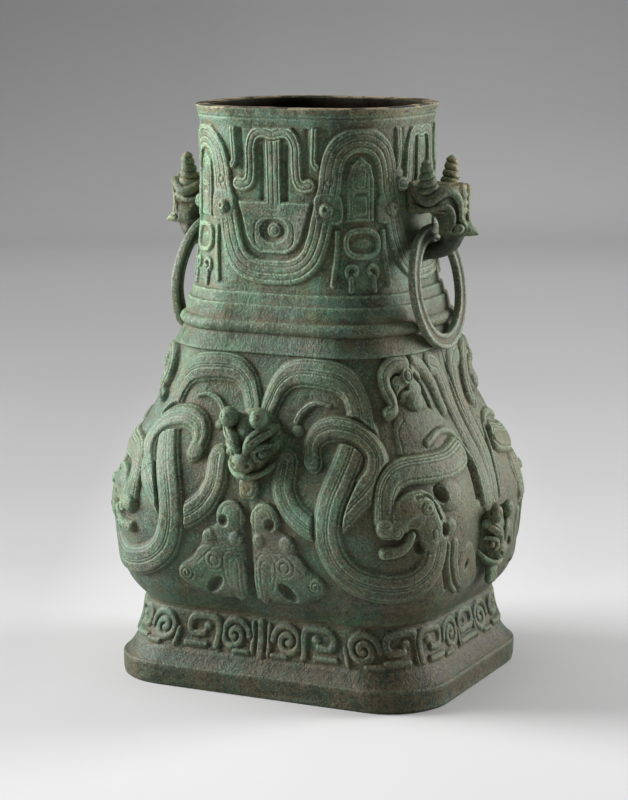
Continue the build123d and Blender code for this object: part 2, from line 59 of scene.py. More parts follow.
def curve_through(points, at):
    """Natural cubic through (position, value) points, read at the given positions."""
    x, y = np.array(points, float).T
    n = len(x)
    h = np.diff(x)
    a = np.eye(n)
    b = np.zeros(n)
    for i in range(1, n - 1):
        a[i, i - 1:i + 2] = h[i - 1], 2 * (h[i - 1] + h[i]), h[i]
        b[i] = 6 * ((y[i + 1] - y[i]) / h[i] - (y[i] - y[i - 1]) / h[i - 1])
    m = np.linalg.solve(a, b)
    i = np.clip(np.searchsorted(x, at) - 1, 0, n - 2)
    s = at - x[i]
    r = x[i + 1] - at
    return ((m[i] * r**3 + m[i + 1] * s**3) / (6 * h[i])
            + (y[i] / h[i] - m[i] * h[i] / 6) * r + (y[i + 1] / h[i] - m[i + 1] * h[i] / 6) * s)


def half_at(levels, z):
    """Half width of an outline at one height."""
    return float(curve_through(levels, np.array([z]))[0])


def smooth_path(points, per_span=8):
    """Dense points of a Catmull-Rom curve through the given ones."""
    p = np.array(points, float)
    ext = np.vstack([2 * p[0] - p[1], p, 2 * p[-1] - p[-2]])
    out = []
    for i in range(len(p) - 1):
        a, b, c, d = ext[i:i + 4]
        t = np.linspace(0, 1, per_span, endpoint=False)[:, None]
        square, cube = 2 * a - 5 * b + 4 * c - d, 3 * b - a - 3 * c + d
        out.append(0.5 * (2 * b + (c - a) * t + square * t**2 + cube * t**3))
    out.append(p[-1:])
    return np.vstack(out)


def spiral(centre, outer, inner, turns, start, hand=1, count=28):
    """Points of a flat spiral from its outer end to its middle, angles in degrees."""
    t = np.linspace(0, 1, count)
    angle = math.radians(start) + hand * 2 * math.pi * turns * t
    radius = outer + (inner - outer) * t
    return np.stack([centre[0] + radius * np.cos(angle), centre[1] + radius * np.sin(angle)], 1)


def loop(centre, half_u, half_z, count=40, power=2.0):
    """Points of a closed rounded loop."""
    a = np.linspace(0, 2 * math.pi, count)
    c, s = np.cos(a), np.sin(a)
    return np.stack([centre[0] + half_u * np.sign(c) * abs(c)**(2 / power),
                     centre[1] + half_z * np.sign(s) * abs(s)**(2 / power)], 1)


# Engraved lines on the bands, in millimetres.
LINE_WIDTH, LINE_DEPTH, BURR_OFF = 0.62, 0.6, 1.25


class Relief:
    """Height of the carving over one quarter of a zone, on a grid of run along the wall and height."""

    def __init__(self, run, heights):
        self.u = np.broadcast_to(np.linspace(0, run, COLUMNS + 1)[None, :], (len(heights), COLUMNS + 1))
        self.z = np.broadcast_to(np.asarray(heights, float)[:, None], self.u.shape)
        self.h = np.zeros(self.u.shape)
        self.line = np.zeros(self.u.shape)

    def window(self, low, high):
        spans = ((self.z[:, 0], low[1], high[1]), (self.u[0], low[0], high[0]))
        return tuple(slice(np.searchsorted(v, a), np.searchsorted(v, b, "right")) for v, a, b in spans)

    def near(self, path, reach):
        """Window, distance, side and position along a path, with which points lie past its ends."""
        p = np.asarray(path, float)
        where = self.window(p.min(0) - reach, p.max(0) + reach)
        u, z = self.u[where], self.z[where]
        best = np.full(u.shape, 1e9)
        side = np.zeros(u.shape)
        along = np.zeros(u.shape)
        past = np.zeros(u.shape, int)
        start = 0.0
        for i in range(len(p) - 1):
            e = p[i + 1] - p[i]
            length = math.hypot(*e)
            if length < 1e-9:
                continue
            e = e / length
            du, dz = u - p[i, 0], z - p[i, 1]
            t = du * e[0] + dz * e[1]
            c = np.clip(t, 0, length)
            d = np.hypot(du - c * e[0], dz - c * e[1])
            take = d < best
            best = np.where(take, d, best)
            side = np.where(take, np.sign(e[0] * dz - e[1] * du), side)
            along = np.where(take, start + c, along)
            out = np.where((i == 0) & (t < 0), -1, np.where((i == len(p) - 2) & (t > length), 1, 0))
            past = np.where(take, out, past)
            start += length
        return where, best, side, along / max(start, 1e-9), past

    def strand(self, points, width, rise, lines=(), crown=0.8, soft=4.0, moat=3.0, caps=(True, True),
               taper=None, gentle=0.0):
        """Rounded band laid over what is there, with engraved lines along it at shares of its half width."""
        where, d, side, along, past = self.near(smooth_path(points), width / 2 + moat + 1)
        half = width / 2 if taper is None else width / 2 * np.interp(along, [0, 1], taper)
        gone = np.zeros(d.shape, bool)
        if not caps[0]:
            gone |= past < 0
        if not caps[1]:
            gone |= past > 0
        edge = np.clip((half - d) / soft, 0, 1)
        slope = (1 - gentle) * np.sqrt(1 - (1 - edge)**2) + gentle * edge**2 * (3 - 2 * edge)
        form = rise * slope + crown * (1 - np.clip(d / half, 0, 1)**2)
        # Each line is a groove with a pale burr along its outer side.
        mark, burr = np.zeros(d.shape), np.zeros(d.shape)
        for share in lines:
            off = d * side - share * half
            mark = np.maximum(mark, np.exp(-(off / LINE_WIDTH)**2))
            burr = np.maximum(burr, np.exp(-((off - math.copysign(BURR_OFF, share)) / LINE_WIDTH)**2))
        form = form - LINE_DEPTH * mark * (edge > 0.3)
        # The mark is negative along the groove, which the paint darkens as painted shade, and positive on the
        # pale burr.
        mark = np.where(burr > mark, burr, -mark)
        old = self.h[where]
        dip = old * np.sqrt(np.clip((d - half) / moat, 0, 1))
        new = np.where(d < half, form, np.where(old > 0, dip, old))
        self.h[where] = np.where(gone, old, new)
        inside = (d < half) & ~gone
        self.line[where] = np.where(inside, mark, self.line[where])

    def patch(self, outline, rise, soft=4.0, smooth=True):
        """Raised plate with a rounded edge inside a closed outline."""
        ring = list(map(tuple, outline)) + [tuple(outline[0])]
        path = smooth_path(ring, 6) if smooth else np.array(ring, float)
        where, d = self.near(path, 3)[:2]
        u, z = self.u[where], self.z[where]
        inside = np.zeros(u.shape, bool)
        for a, b in zip(path[:-1], path[1:]):
            span = (a[1] > z) != (b[1] > z)
            lean = b[1] - a[1] if b[1] != a[1] else 1e-9
            inside ^= span & (u < (b[0] - a[0]) * (z - a[1]) / lean + a[0])
        edge = np.clip(d / soft, 0, 1)
        form = rise * np.sqrt(1 - (1 - edge)**2)
        self.h[where] = np.where(inside, np.maximum(self.h[where], form), self.h[where])

    def spot(self, centre, half_u, half_z, turn):
        """Window round an ellipse, with the squared distance from its middle, which is 1 on its edge."""
        reach = max(half_u, half_z)
        where = self.window(np.array(centre) - reach, np.array(centre) + reach)
        c, s = math.cos(math.radians(turn)), math.sin(math.radians(turn))
        du, dz = self.u[where] - centre[0], self.z[where] - centre[1]
        return where, ((du * c + dz * s) / half_u)**2 + ((dz * c - du * s) / half_z)**2

    def dome(self, centre, half_u, half_z, rise, lift=0.0, turn=0.0, power=0.5):
        """Rounded lump standing on what is there up to lift."""
        where, q = self.spot(centre, half_u, half_z, turn)
        form = lift + rise * np.clip(1 - q, 0, 1)**power
        self.h[where] = np.where(q < 1, np.maximum(self.h[where], form), self.h[where])

    def pit(self, centre, half_u, half_z, depth, turn=0.0):
        where, q = self.spot(centre, half_u, half_z, turn)
        self.h[where] -= depth * np.clip(1 - q, 0, 1)**0.7

    def groove(self, points, width, depth, pale=0.0, smooth=True):
        path = smooth_path(points) if smooth else np.array(points, float)
        where, d = self.near(path, 2.5 * width)[:2]
        g = np.exp(-(d / (0.5 * width))**2)
        self.h[where] -= depth * g
        self.line[where] = np.where(g > 0.3, pale * g, self.line[where])


def carve_belly(r):
    """Interlaced serpents, small creatures and corner heads, drawn on the quarter right of the middle."""
    lines = (-0.76, -0.08, 0.10, 0.70)
    body = dict(lines=lines, crown=0.9, soft=6.0, moat=1.0, gentle=0.55)
    r.strand([(8, 256), (12, 266), (22, 281), (42, 291), (75, 292), (103, 287), (117, 271), (120, 246),
              (120, 226)], 27, 3.0,
             taper=(0.9, 1.2), **body)
    r.strand([(45, 250), (50, 257), (60, 264), (72, 267), (86, 265)], 6.5, 2.8, (0.0,), 0.4, 2.5,
             taper=(1.2, 0.5))
    r.dome((47, 243), 7, 5, 3.4)
    # Tail of the loop, then the body that crosses it, then the loop itself.
    r.strand([(122, 206), (113, 197), (103, 188), (90, 175), (78, 166), (66, 163), (55, 168), (43, 178),
              (35, 195), (37, 216)],
             25, 3.8, **body)
    r.strand([(112, 242), (104, 227), (92, 206), (82, 186), (78, 166), (80, 149), (89, 132), (106, 119),
              (130, 113),
              (151, 114), (169, 124), (177, 140), (178, 160), (172, 176)], 28, 3.8, **body)
    r.strand([(65, 219), (64, 231), (73, 242), (92, 247), (115, 242), (128, 228), (126, 212), (115, 199)], 24,
             4.2,
             caps=(True, False), taper=(0.85, 1.05), **body)
    r.dome((64, 219), 8, 7, 1.2, 4.0)
    # Small creature that crouches beside the middle line.
    r.patch([(3, 92), (3, 140), (5, 168), (10, 180), (20, 182), (28, 173), (31, 160), (43, 152), (50, 138),
             (60, 126),
             (74, 116), (75, 105), (62, 95), (40, 90), (20, 90)], 4.4, 17.0)
    r.dome((17, 166), 14, 15, 2.8, 2.2)
    r.pit((23, 163), 5.0, 5.5, 3.6)
    r.dome((12, 148), 7, 7, 3.0, 3.0)
    r.dome((38, 146), 8, 8, 2.8, 2.6)
    r.dome((38, 124), 21, 17, 3.0, 2.4, -30)
    r.dome((13, 112), 9, 22, 2.0, 2.8)
    r.groove(loop((36, 126), 4.6, 4.6), 1.4, 1.0)
    r.groove(loop((36, 126), 9.5, 9.0), 1.2, 0.6)
    r.dome((66, 111), 8.5, 8, 3.4, 1.6)
    r.groove(spiral((66, 111), 6.5, 1, 1.6, 180), 1.6, 1.1)
    r.pit((38, 103), 12, 5.5, 4.6, -38)
    r.groove([(7, 172), (8, 150), (14, 141), (26, 138), (34, 139), (43, 132), (54, 122)], 1.5, 0.7, 0.7)
    r.groove([(8, 96), (8, 128), (14, 136), (24, 134), (27, 120), (23, 104)], 1.4, 0.6, 0.7)
    r.groove([(12, 96), (12, 124), (16, 130), (21, 127), (22, 112)], 1.3, 0.5, 0.6)
    r.groove([(10, 174), (16, 177), (23, 174), (26, 166)], 1.4, 0.6, 0.7)
    r.groove([(0, 92), (0, 185)], 5.0, 1.0)
    # Collar over the corner head, with the wing above it and the ridge that turns down beside it.
    r.patch([(151, 226), (152, 246), (162, 256), (190, 259), (222, 258), (246, 246), (262, 226), (240, 214),
             (190, 214)],
            1.5, 7.0)
    r.groove([(157, 226), (158, 244), (167, 252)], 1.4, 0.6, 0.6)
    r.strand([(236, 296), (251, 291), (260, 276), (263, 245), (265, 210), (269, 172)], 24, 2.4, (-0.3, 0.3),
             1.0, 10.0)
    r.strand([(129, 174), (131, 193), (139, 206), (153, 212), (176, 213), (204, 214), (230, 219)], 23, 4.6,
             (-0.62, 0.25, 0.45, 0.65), 1.4, 7.5, 1.0, taper=(0.85, 1.25))
    r.groove([(222, 207), (237, 213), (242, 226), (230, 234), (212, 231)], 1.8, 1.0)
    r.strand([(186, 232), (203, 238), (220, 239), (234, 234), (244, 223), (253, 206), (257, 190), (258, 172)],
             7.5, 3.4,
             (), 0.8, 3.8, 1.0)
    r.groove([(239, 228), (245, 216), (249, 200), (250, 178)], 6.0, 4.0)
    # Corner head inside the lower curl, looking along the curl with its jaw dropped.
    r.patch([(123, 172), (121, 164), (127, 157), (138, 157), (147, 161), (155, 164), (160, 159), (163, 149),
             (171, 143),
             (181, 149), (185, 166), (178, 183), (167, 194), (152, 196), (139, 189), (131, 179)], 7.0, 11.0)
    r.dome((157, 181), 20, 15, 3.0, 5.0, 20, 0.7)
    r.dome((129, 167), 7.5, 7.5, 3.2, 5.6)
    r.dome((139, 163), 5.4, 5.4, 2.2, 6.2)
    r.groove(loop((139, 163), 3.4, 3.2), 1.3, 1.0)
    r.strand([(153, 160), (148, 151), (140, 146), (129, 145)], 9.5, 5.4, (), 1.8, 4.0, 0.5, taper=(0.8, 1.2))
    r.groove(spiral((131, 146), 4.2, 1, 1.4, 150, -1), 1.4, 1.1)
    r.groove([(144, 159), (150, 162), (156, 161), (160, 153), (163, 146), (170, 143)], 1.6, 1.2, 0.8)
    r.pit((161, 148), 6.0, 6.5, 4.2, 30)
    r.pit((154, 169), 6.5, 5, 2.6, 30)
    r.dome((167, 181), 5.6, 5.2, 2.6, 7.4)
    r.groove(loop((167, 181), 5.4, 5.0), 1.5, 1.2)
    r.pit((167, 181), 1.8, 1.8, 1.0)
    r.groove([(158, 190), (168, 191), (176, 184), (181, 171)], 2.6, 2.6)
    r.groove([(150, 192), (160, 194), (171, 190), (180, 180), (185, 168)], 1.3, 0.6, 0.6)
    r.dome((173, 159), 5.0, 7.5, 1.8, 6.0, -20)
    r.groove(loop((173, 159), 3.0, 5.0), 1.3, 0.9)
    r.dome((197, 189), 17, 14, 4.6, 0.0)
    r.groove([(188, 176), (200, 176), (210, 183), (212, 196)], 1.5, 0.7, 0.5)
    r.pit((186, 191), 6, 9, 7.0, 25)
    r.dome((192, 163), 9, 8, 5.5, 0.0)
    r.pit((185, 161), 4, 7, 5.0, 15)
    # Ribs and a leaf to the right of the lower curl.
    r.strand([(192, 146), (193, 128), (198, 110), (208, 101)], 5, 2.0, (), 0.4, 2.5, 1.0)
    r.strand([(201, 146), (203, 128), (210, 112), (222, 104)], 10, 1.8, (0.0,), 0.4, 4.0, 1.0)
    r.patch([(207, 112), (213, 132), (228, 142), (244, 130), (254, 106), (240, 96), (220, 97)], 2.2, 9.0)
    r.pit((225, 122), 6, 4, 4.0, 50)
    r.groove([(189, 150), (188, 126), (193, 106)], 3.0, 1.8)
    # Upper corner head with a long curled trunk, and the crest behind it.
    r.strand([(197, 300), (214, 292), (228, 277), (236, 256)], 17, 3.2, (0.3,), 1.8, 8.5)
    r.dome((178, 285), 30, 20, 6.0, 0.0, -6, 0.6)
    r.strand([(180, 298), (164, 298), (153, 291), (152, 280), (157, 270), (157, 262), (149, 258)], 16, 5.4,
             (-0.35,), 2.2,
             8.0, 1.0, taper=(1.2, 0.75))
    r.dome((180, 288), 8.5, 8, 2.8, 5.8)
    r.groove(loop((180, 288), 4.8, 4.8), 1.7, 1.5)
    r.dome((187, 268), 14, 10, 6.0, 0.0, -20)
    r.groove([(193, 287), (203, 281), (209, 272), (213, 261)], 5.0, 5.0)
    r.groove([(164, 265), (169, 275), (178, 278)], 3.6, 3.0)
    r.groove([(270, 302), (270, 262), (269, 236)], 2.0, 1.0)


def neck_top_bars(r, at):
    """Stem and two arched legs under the rim, either side of the run that at() mirrors about."""
    def go(points):
        return [(at(u), z) for u, z in points]
    r.strand(go([(0, 437), (0, 499)]), 17, 2.5, (-0.62, 0.0, 0.62), 0.2, 2.0, 0.4)
    r.strand(go([(2, 497), (12, 499), (20, 495), (24, 485), (24.5, 468), (26, 457), (31, 452.5), (38, 453)]),
             12.5, 2.6,
             (-0.4, 0.4), 0.3, 2.2, 0.4, taper=(0.9, 1.0))
    r.strand(go([(43, 502), (42.5, 488), (42, 474), (45, 469)]), 7, 2.4, (0.0,), 0.3, 2.0, 0.4)
    r.groove(go([(13, 440), (13, 470), (13.5, 486)]), 4.2, 1.7)
    r.groove(go([(35, 501), (34.5, 484), (34, 467)]), 5.2, 1.5)


def carve_neck(r):
    """Wave band with eyed motifs between its bends."""
    lines = (-0.56, -0.05, 0.48)
    neck_top_bars(r, lambda u: u)
    neck_top_bars(r, lambda u: NECK_RUN - u)
    # Eyed plate in the wave's trough.
    r.patch([(-39, 438), (39, 438), (33, 419), (29, 406), (23, 397), (13, 392), (-13, 392), (-23, 397)], 2.5,
            2.0, False)
    r.groove(loop((0, 410), 21, 14.5, 48, 3.2), 1.5, 0.8, 0.8, False)
    r.pit((0, 412.5), 15.5, 11, 3.6)
    r.dome((0, 413), 8, 7, 2.8, 0.0)
    r.groove(loop((0, 413), 4.5, 4), 1.3, 0.7)
    half = [(0, 376), (15, 376.5), (27, 380), (38, 389), (45, 404), (49, 420), (53, 436), (57, 452),
            (59, 468), (64, 482),
            (74, 490.5), (86, 493)]
    crest = half[-1][0]
    wave = half + [(2 * crest - u, z) for u, z in half[-2::-1]]
    r.strand([(-15, 376.5)] + wave + [(190, 376.5)], 22, 2.8, lines, 0.2, 2.0, 2.0)
    for side in (0, 1):
        def at(u):
            return u if side == 0 else 2 * crest - u
        r.patch([(at(44), 420), (at(43), 444), (at(66), 446), (at(68), 421)], 3.5, 2.0)
        r.dome((at(54), 432), 6.5, 6.5, 5.0, 2.6)
        r.pit((at(54), 433), 2.2, 2.2, 1.4)
        r.groove(loop((at(57), 456), 3.2, 3.2), 1.4, 0.9)
        r.strand([(at(64), 413), (at(63), 395), (at(59), 367)], 5.5, 2.2, (), 0.3, 2.0, 2.0)
        start, hand = ((-100, -1), (280, 1))[side]
        r.strand(spiral((at(77), 379), 6.5, 3.0, 0.9, start, hand), 4.4, 2.2, (), 0.3, 1.8, 1.5)
        r.strand([(at(75), 362), (at(75), 374)], 4.6, 2.2, (), 0.3, 1.8, 1.0)
    # Tongue and oval eye under the crest.
    r.patch([(73, 422), (73, 458), (76, 471), (86, 479), (96, 471), (99, 458), (99, 422)], 2.2, 1.6, False)
    r.groove([(77, 424), (77, 457), (80, 469), (86, 474), (92, 469), (95, 457), (95, 424)], 1.5, 1.1, 0.9)
    r.groove(loop((86, 460), 5.5, 9.5, 36, 4), 1.5, 1.1, 0.9, False)
    r.groove(loop((86, 436), 6.5, 10, 36, 4), 1.5, 0.9, 0.6, False)
    r.pit((86, 446), 7, 3, 1.2)
    r.strand(loop((87, 403), 15.5, 11.5, 30, 2.6), 5.5, 2.5, (), 0.4, 2.0, 2.0)
    r.dome((87, 403), 9, 4.5, 1.4)


def carve_foot(r):
    """Row of scrolls round the foot."""
    def bar(points, width=5.8):
        r.strand(points, width + 0.9, 2.4, (), 0.3, 2.0, 1.2)
    bar([(0, 38), (0, 66)], 7)
    bar([(8.5, 39), (8.5, 64)], 4.4)
    for middle, hand, turn in ((28, 1, 180), (104, -1, 0), (214, 1, 180)):
        bar(spiral((middle, 52.5), 15.5, 1.8, 1.75, turn, -hand, 40))
        bar([(middle + hand * 15.5, 39), (middle + hand * 17, 52)], 4.6)
        bar([(middle - hand * 15.5, 38.5), (middle - hand * 2, 38.5)], 4.6)
    for middle, hand in ((62, 1), (139, -1), (176, 1), (248, -1)):
        bar([(middle - 17 * hand, 41), (middle - 17 * hand, 60), (middle - 11 * hand, 66),
             (middle + 8 * hand, 65.5),
             (middle + 14 * hand, 58), (middle + 10 * hand, 50), (middle - 2 * hand, 50.5)], 6.2)
        r.dome((middle - 5 * hand, 57), 5, 4, 2.6)
        bar([(middle - 6 * hand, 41), (middle + 15 * hand, 41)], 5.0)
    r.groove([(-5, 36.0), (255, 36.0)], 1.6, 0.8, 0.3, False)
    r.groove([(-5, 70.5), (255, 70.5)], 1.6, 0.8, 0.2, False)


def ease(value, low, high):
    """Smooth rise from 0 at low to 1 at high."""
    t = np.clip((value - low) / (high - low), 0, 1)
    return t * t * (3 - 2 * t)


def rows_between(low, high, pitch):
    return np.linspace(low, high, max(2, int(round((high - low) / pitch)) + 1))


def outline_rows():
    """Outer rows from the ground to the rim: heights, half widths and the relief on each row."""
    zones = []

    def zone(z, half, relief=None):
        zones.append((np.array(z, float), np.array(half, float), relief))

    def straight(z0, h0, z1, h1, pitch, bulge=0.0):
        z = rows_between(z0, z1, pitch)
        s = (z - z0) / (z1 - z0)
        zone(z, h0 + (h1 - h0) * s + bulge * np.sin(math.pi * s))

    def carved(z0, z1, pitch, levels, run, carving):
        z = rows_between(z0, z1, pitch)
        relief = Relief(run, z)
        carving(relief)
        zone(z, curve_through(levels, np.minimum(z, levels[-1][0])), relief)
    # Plinth, foot and belly.
    zone([0.0, 1.0, 3.0], [158.6, 159.7, 160.1])
    straight(5.0, 160.3, 18.5, 161.4, 1.6)
    zone([19.6, 20.6, 21.2], [161.2, 160.6, 159.6])
    straight(22.0, 158.8, 33.2, 151.6, 1.4, -0.6)
    carved(34, 72.4, 1.2, FOOT_LEVELS, FOOT_RUN, carve_foot)
    carved(73, 304.8, 0.8, BELLY_LEVELS, BELLY_RUN, carve_belly)
    # Bands under the neck: a sloping one, a rounded one and two steps.
    zone([305.3, 305.8, 306.6], [119.6, 121.2, 121.9])
    straight(307.6, 121.5, 320.6, 114.8, 1.3)
    zone([321.6, 322.2], [114.0, 113.9])
    z = rows_between(322.8, 333.2, 0.8)
    zone(z, 113.4 + 4.0 * np.sin(math.pi * (z - 322.0) / 12.0)**0.7)
    straight(334.2, 112.8, 346.6, 110.4, 1.3)
    zone([347.4, 347.9, 348.3], [110.0, 109.2, 108.1])
    straight(349.2, 107.8, 356.8, 106.3, 1.2)
    zone([357.5, 358.0, 358.4], [105.8, 104.8, 103.6])
    # Neck, collar and lip.
    carved(359.2, 501.6, 0.78, NECK_LEVELS, NECK_RUN, carve_neck)
    straight(503, 99.5, 509.6, 101.4, 1.2)
    zone([510.4, 511.0, 511.6], [101.2, 101.0, 101.4])
    straight(512.6, 102.2, 518.0, 103.7, 1.1)
    zone([518.8, 519.5, 519.9], [104.0, 103.6, 102.6])
    return zones


def ring_points(z, half, inset, share):
    """Points and outward directions of one row's quarter at the given shares of its run."""
    depth, corner = plan_sizes(z, half)
    a, b, r = half - inset, depth - inset, corner - inset
    flat, bend = a - r, r * math.pi / 2
    s = share * (flat + bend + b - r)
    turn = np.clip((s - flat) / r, 0, math.pi / 2)
    x = np.where(s < flat, s, flat + r * np.sin(turn))
    y = np.where(s > flat + bend, s - flat - bend - (b - r), r - b - r * np.cos(turn))
    y = np.where(s < flat, -b, y)
    return x, y, np.sin(turn), -np.cos(turn)


def all_round(q, flip):
    """A quarter's row of values carried round the whole body, with flip = (sign in x, sign in y) factors."""
    fx, fy = flip
    return np.concatenate([q, (fy * q)[-2::-1], (fx * fy * q)[1:], (fx * q)[-2:0:-1]])


def grid_faces(grid, closed=False):
    """Quads between the rows of a grid of point numbers, whose rows run round in loops."""
    a, b = (grid, np.roll(grid, -1, 0)) if closed else (grid[:-1], grid[1:])
    return np.stack([a, np.roll(a, -1, 1), np.roll(b, -1, 1), b], -1).reshape(-1, 4)


def pole_faces(grid):
    """Triangles that close the first and last rows on the two points numbered after the grid."""
    first, last = grid[0], grid[-1]
    low = np.full(len(first), grid.size)
    return np.vstack([np.stack([low, np.roll(first, -1), first], 1),
                      np.stack([last, np.roll(last, -1), low + 1], 1)])


def quads_to_mesh(name, verts, quads, tris, marks, spread):
    """Mesh object in metres with smooth shading and its surface marks stored on its points."""
    mesh = bpy.data.meshes.new(name)
    quads = np.asarray(quads, np.int32).reshape(-1, 4)
    tris = np.asarray(tris, np.int32).reshape(-1, 3)
    mesh.vertices.add(len(verts))
    mesh.vertices.foreach_set("co", (verts * MM).astype(np.float32).ravel())
    loops = np.concatenate([quads.ravel(), tris.ravel()])
    mesh.loops.add(len(loops))
    mesh.loops.foreach_set("vertex_index", loops)
    starts = np.concatenate([np.arange(len(quads)) * 4, len(quads) * 4 + np.arange(len(tris)) * 3])
    mesh.polygons.add(len(starts))
    mesh.polygons.foreach_set("loop_start", starts.astype(np.int32))
    mesh.polygons.foreach_set("use_smooth", np.ones(len(starts), bool))
    mesh.update(calc_edges=True)
    mesh.validate()
    for key, values in surface_marks(verts, quads, tris, marks, spread).items():
        mesh.attributes.new(key, "FLOAT", "POINT").data.foreach_set("value", values.astype(np.float32))
    obj = bpy.data.objects.new(name, mesh)
    bpy.context.scene.collection.objects.link(obj)
    return obj


def point_normals(verts, quads, tris):
    n = np.zeros(verts.shape)
    for faces, (a, b, c, d) in ((quads, (0, 2, 1, 3)), (tris, (0, 1, 0, 2))):
        p = verts[faces]
        across = np.cross(p[:, b] - p[:, a], p[:, d] - p[:, c])
        for corner in faces.T:
            for k in range(3):
                n[:, k] += np.bincount(corner, across[:, k], len(verts))
    return n / np.maximum(np.linalg.norm(n, axis=1), 1e-12)[:, None]


# Rounds of smoothing that show an edge, and how far off an edge or a hollow counts in full, in millimetres.
EDGE_STEPS, EDGE_DEPTH = 3, 0.30
HOLLOW_DEPTH, HOLLOW_START = 0.05, 0.08


def surface_marks(verts, quads, tris, marks, spread):
    """Sharp edges and sheltered hollows of a surface, from how far it lies off its smoothed self; the paint
    puts earth and painted shade in the hollows.
    """
    pairs = [quads[:, [i, (i + 1) % 4]] for i in range(4)] + [tris[:, [i, (i + 1) % 3]] for i in range(3)]
    e = np.vstack(pairs)
    count = np.maximum(np.bincount(e[:, 0], minlength=len(verts)), 1)
    normal = point_normals(verts, quads, tris)
    p = verts.copy()
    out = {}
    for step in range(1, spread + 1):
        p = np.stack([np.bincount(e[:, 0], p[e[:, 1], k], len(verts)) / count for k in range(3)], 1)
        if step == EDGE_STEPS:
            out["edge"] = ((p - verts) * normal).sum(1)
    sunk = ((p - verts) * normal).sum(1) / (HOLLOW_DEPTH * spread) - HOLLOW_START
    out["hollow"] = np.clip(sunk, 0, 1) * marks.get("shelter", 1.0)
    out["edge"] = np.clip(-out["edge"] / EDGE_DEPTH, 0, 1) * marks.get("wear", 1.0)
    for key in ("line", "earth", "inside", "tone", "warm", "rim", "proud"):
        out[key] = marks.get(key, np.zeros(len(verts)))
    return out


def grain(shape, width, seed):
    """Smooth random field that closes on itself, with a spread of one."""
    field = np.random.default_rng(seed).standard_normal(shape)
    fy = np.fft.fftfreq(shape[0])[:, None]
    fx = np.fft.rfftfreq(shape[1])[None, :]
    field = np.fft.irfft2(np.fft.rfft2(field) * np.exp(-2 * (math.pi * width)**2 * (fx**2 + fy**2)), shape)
    return field / field.std()


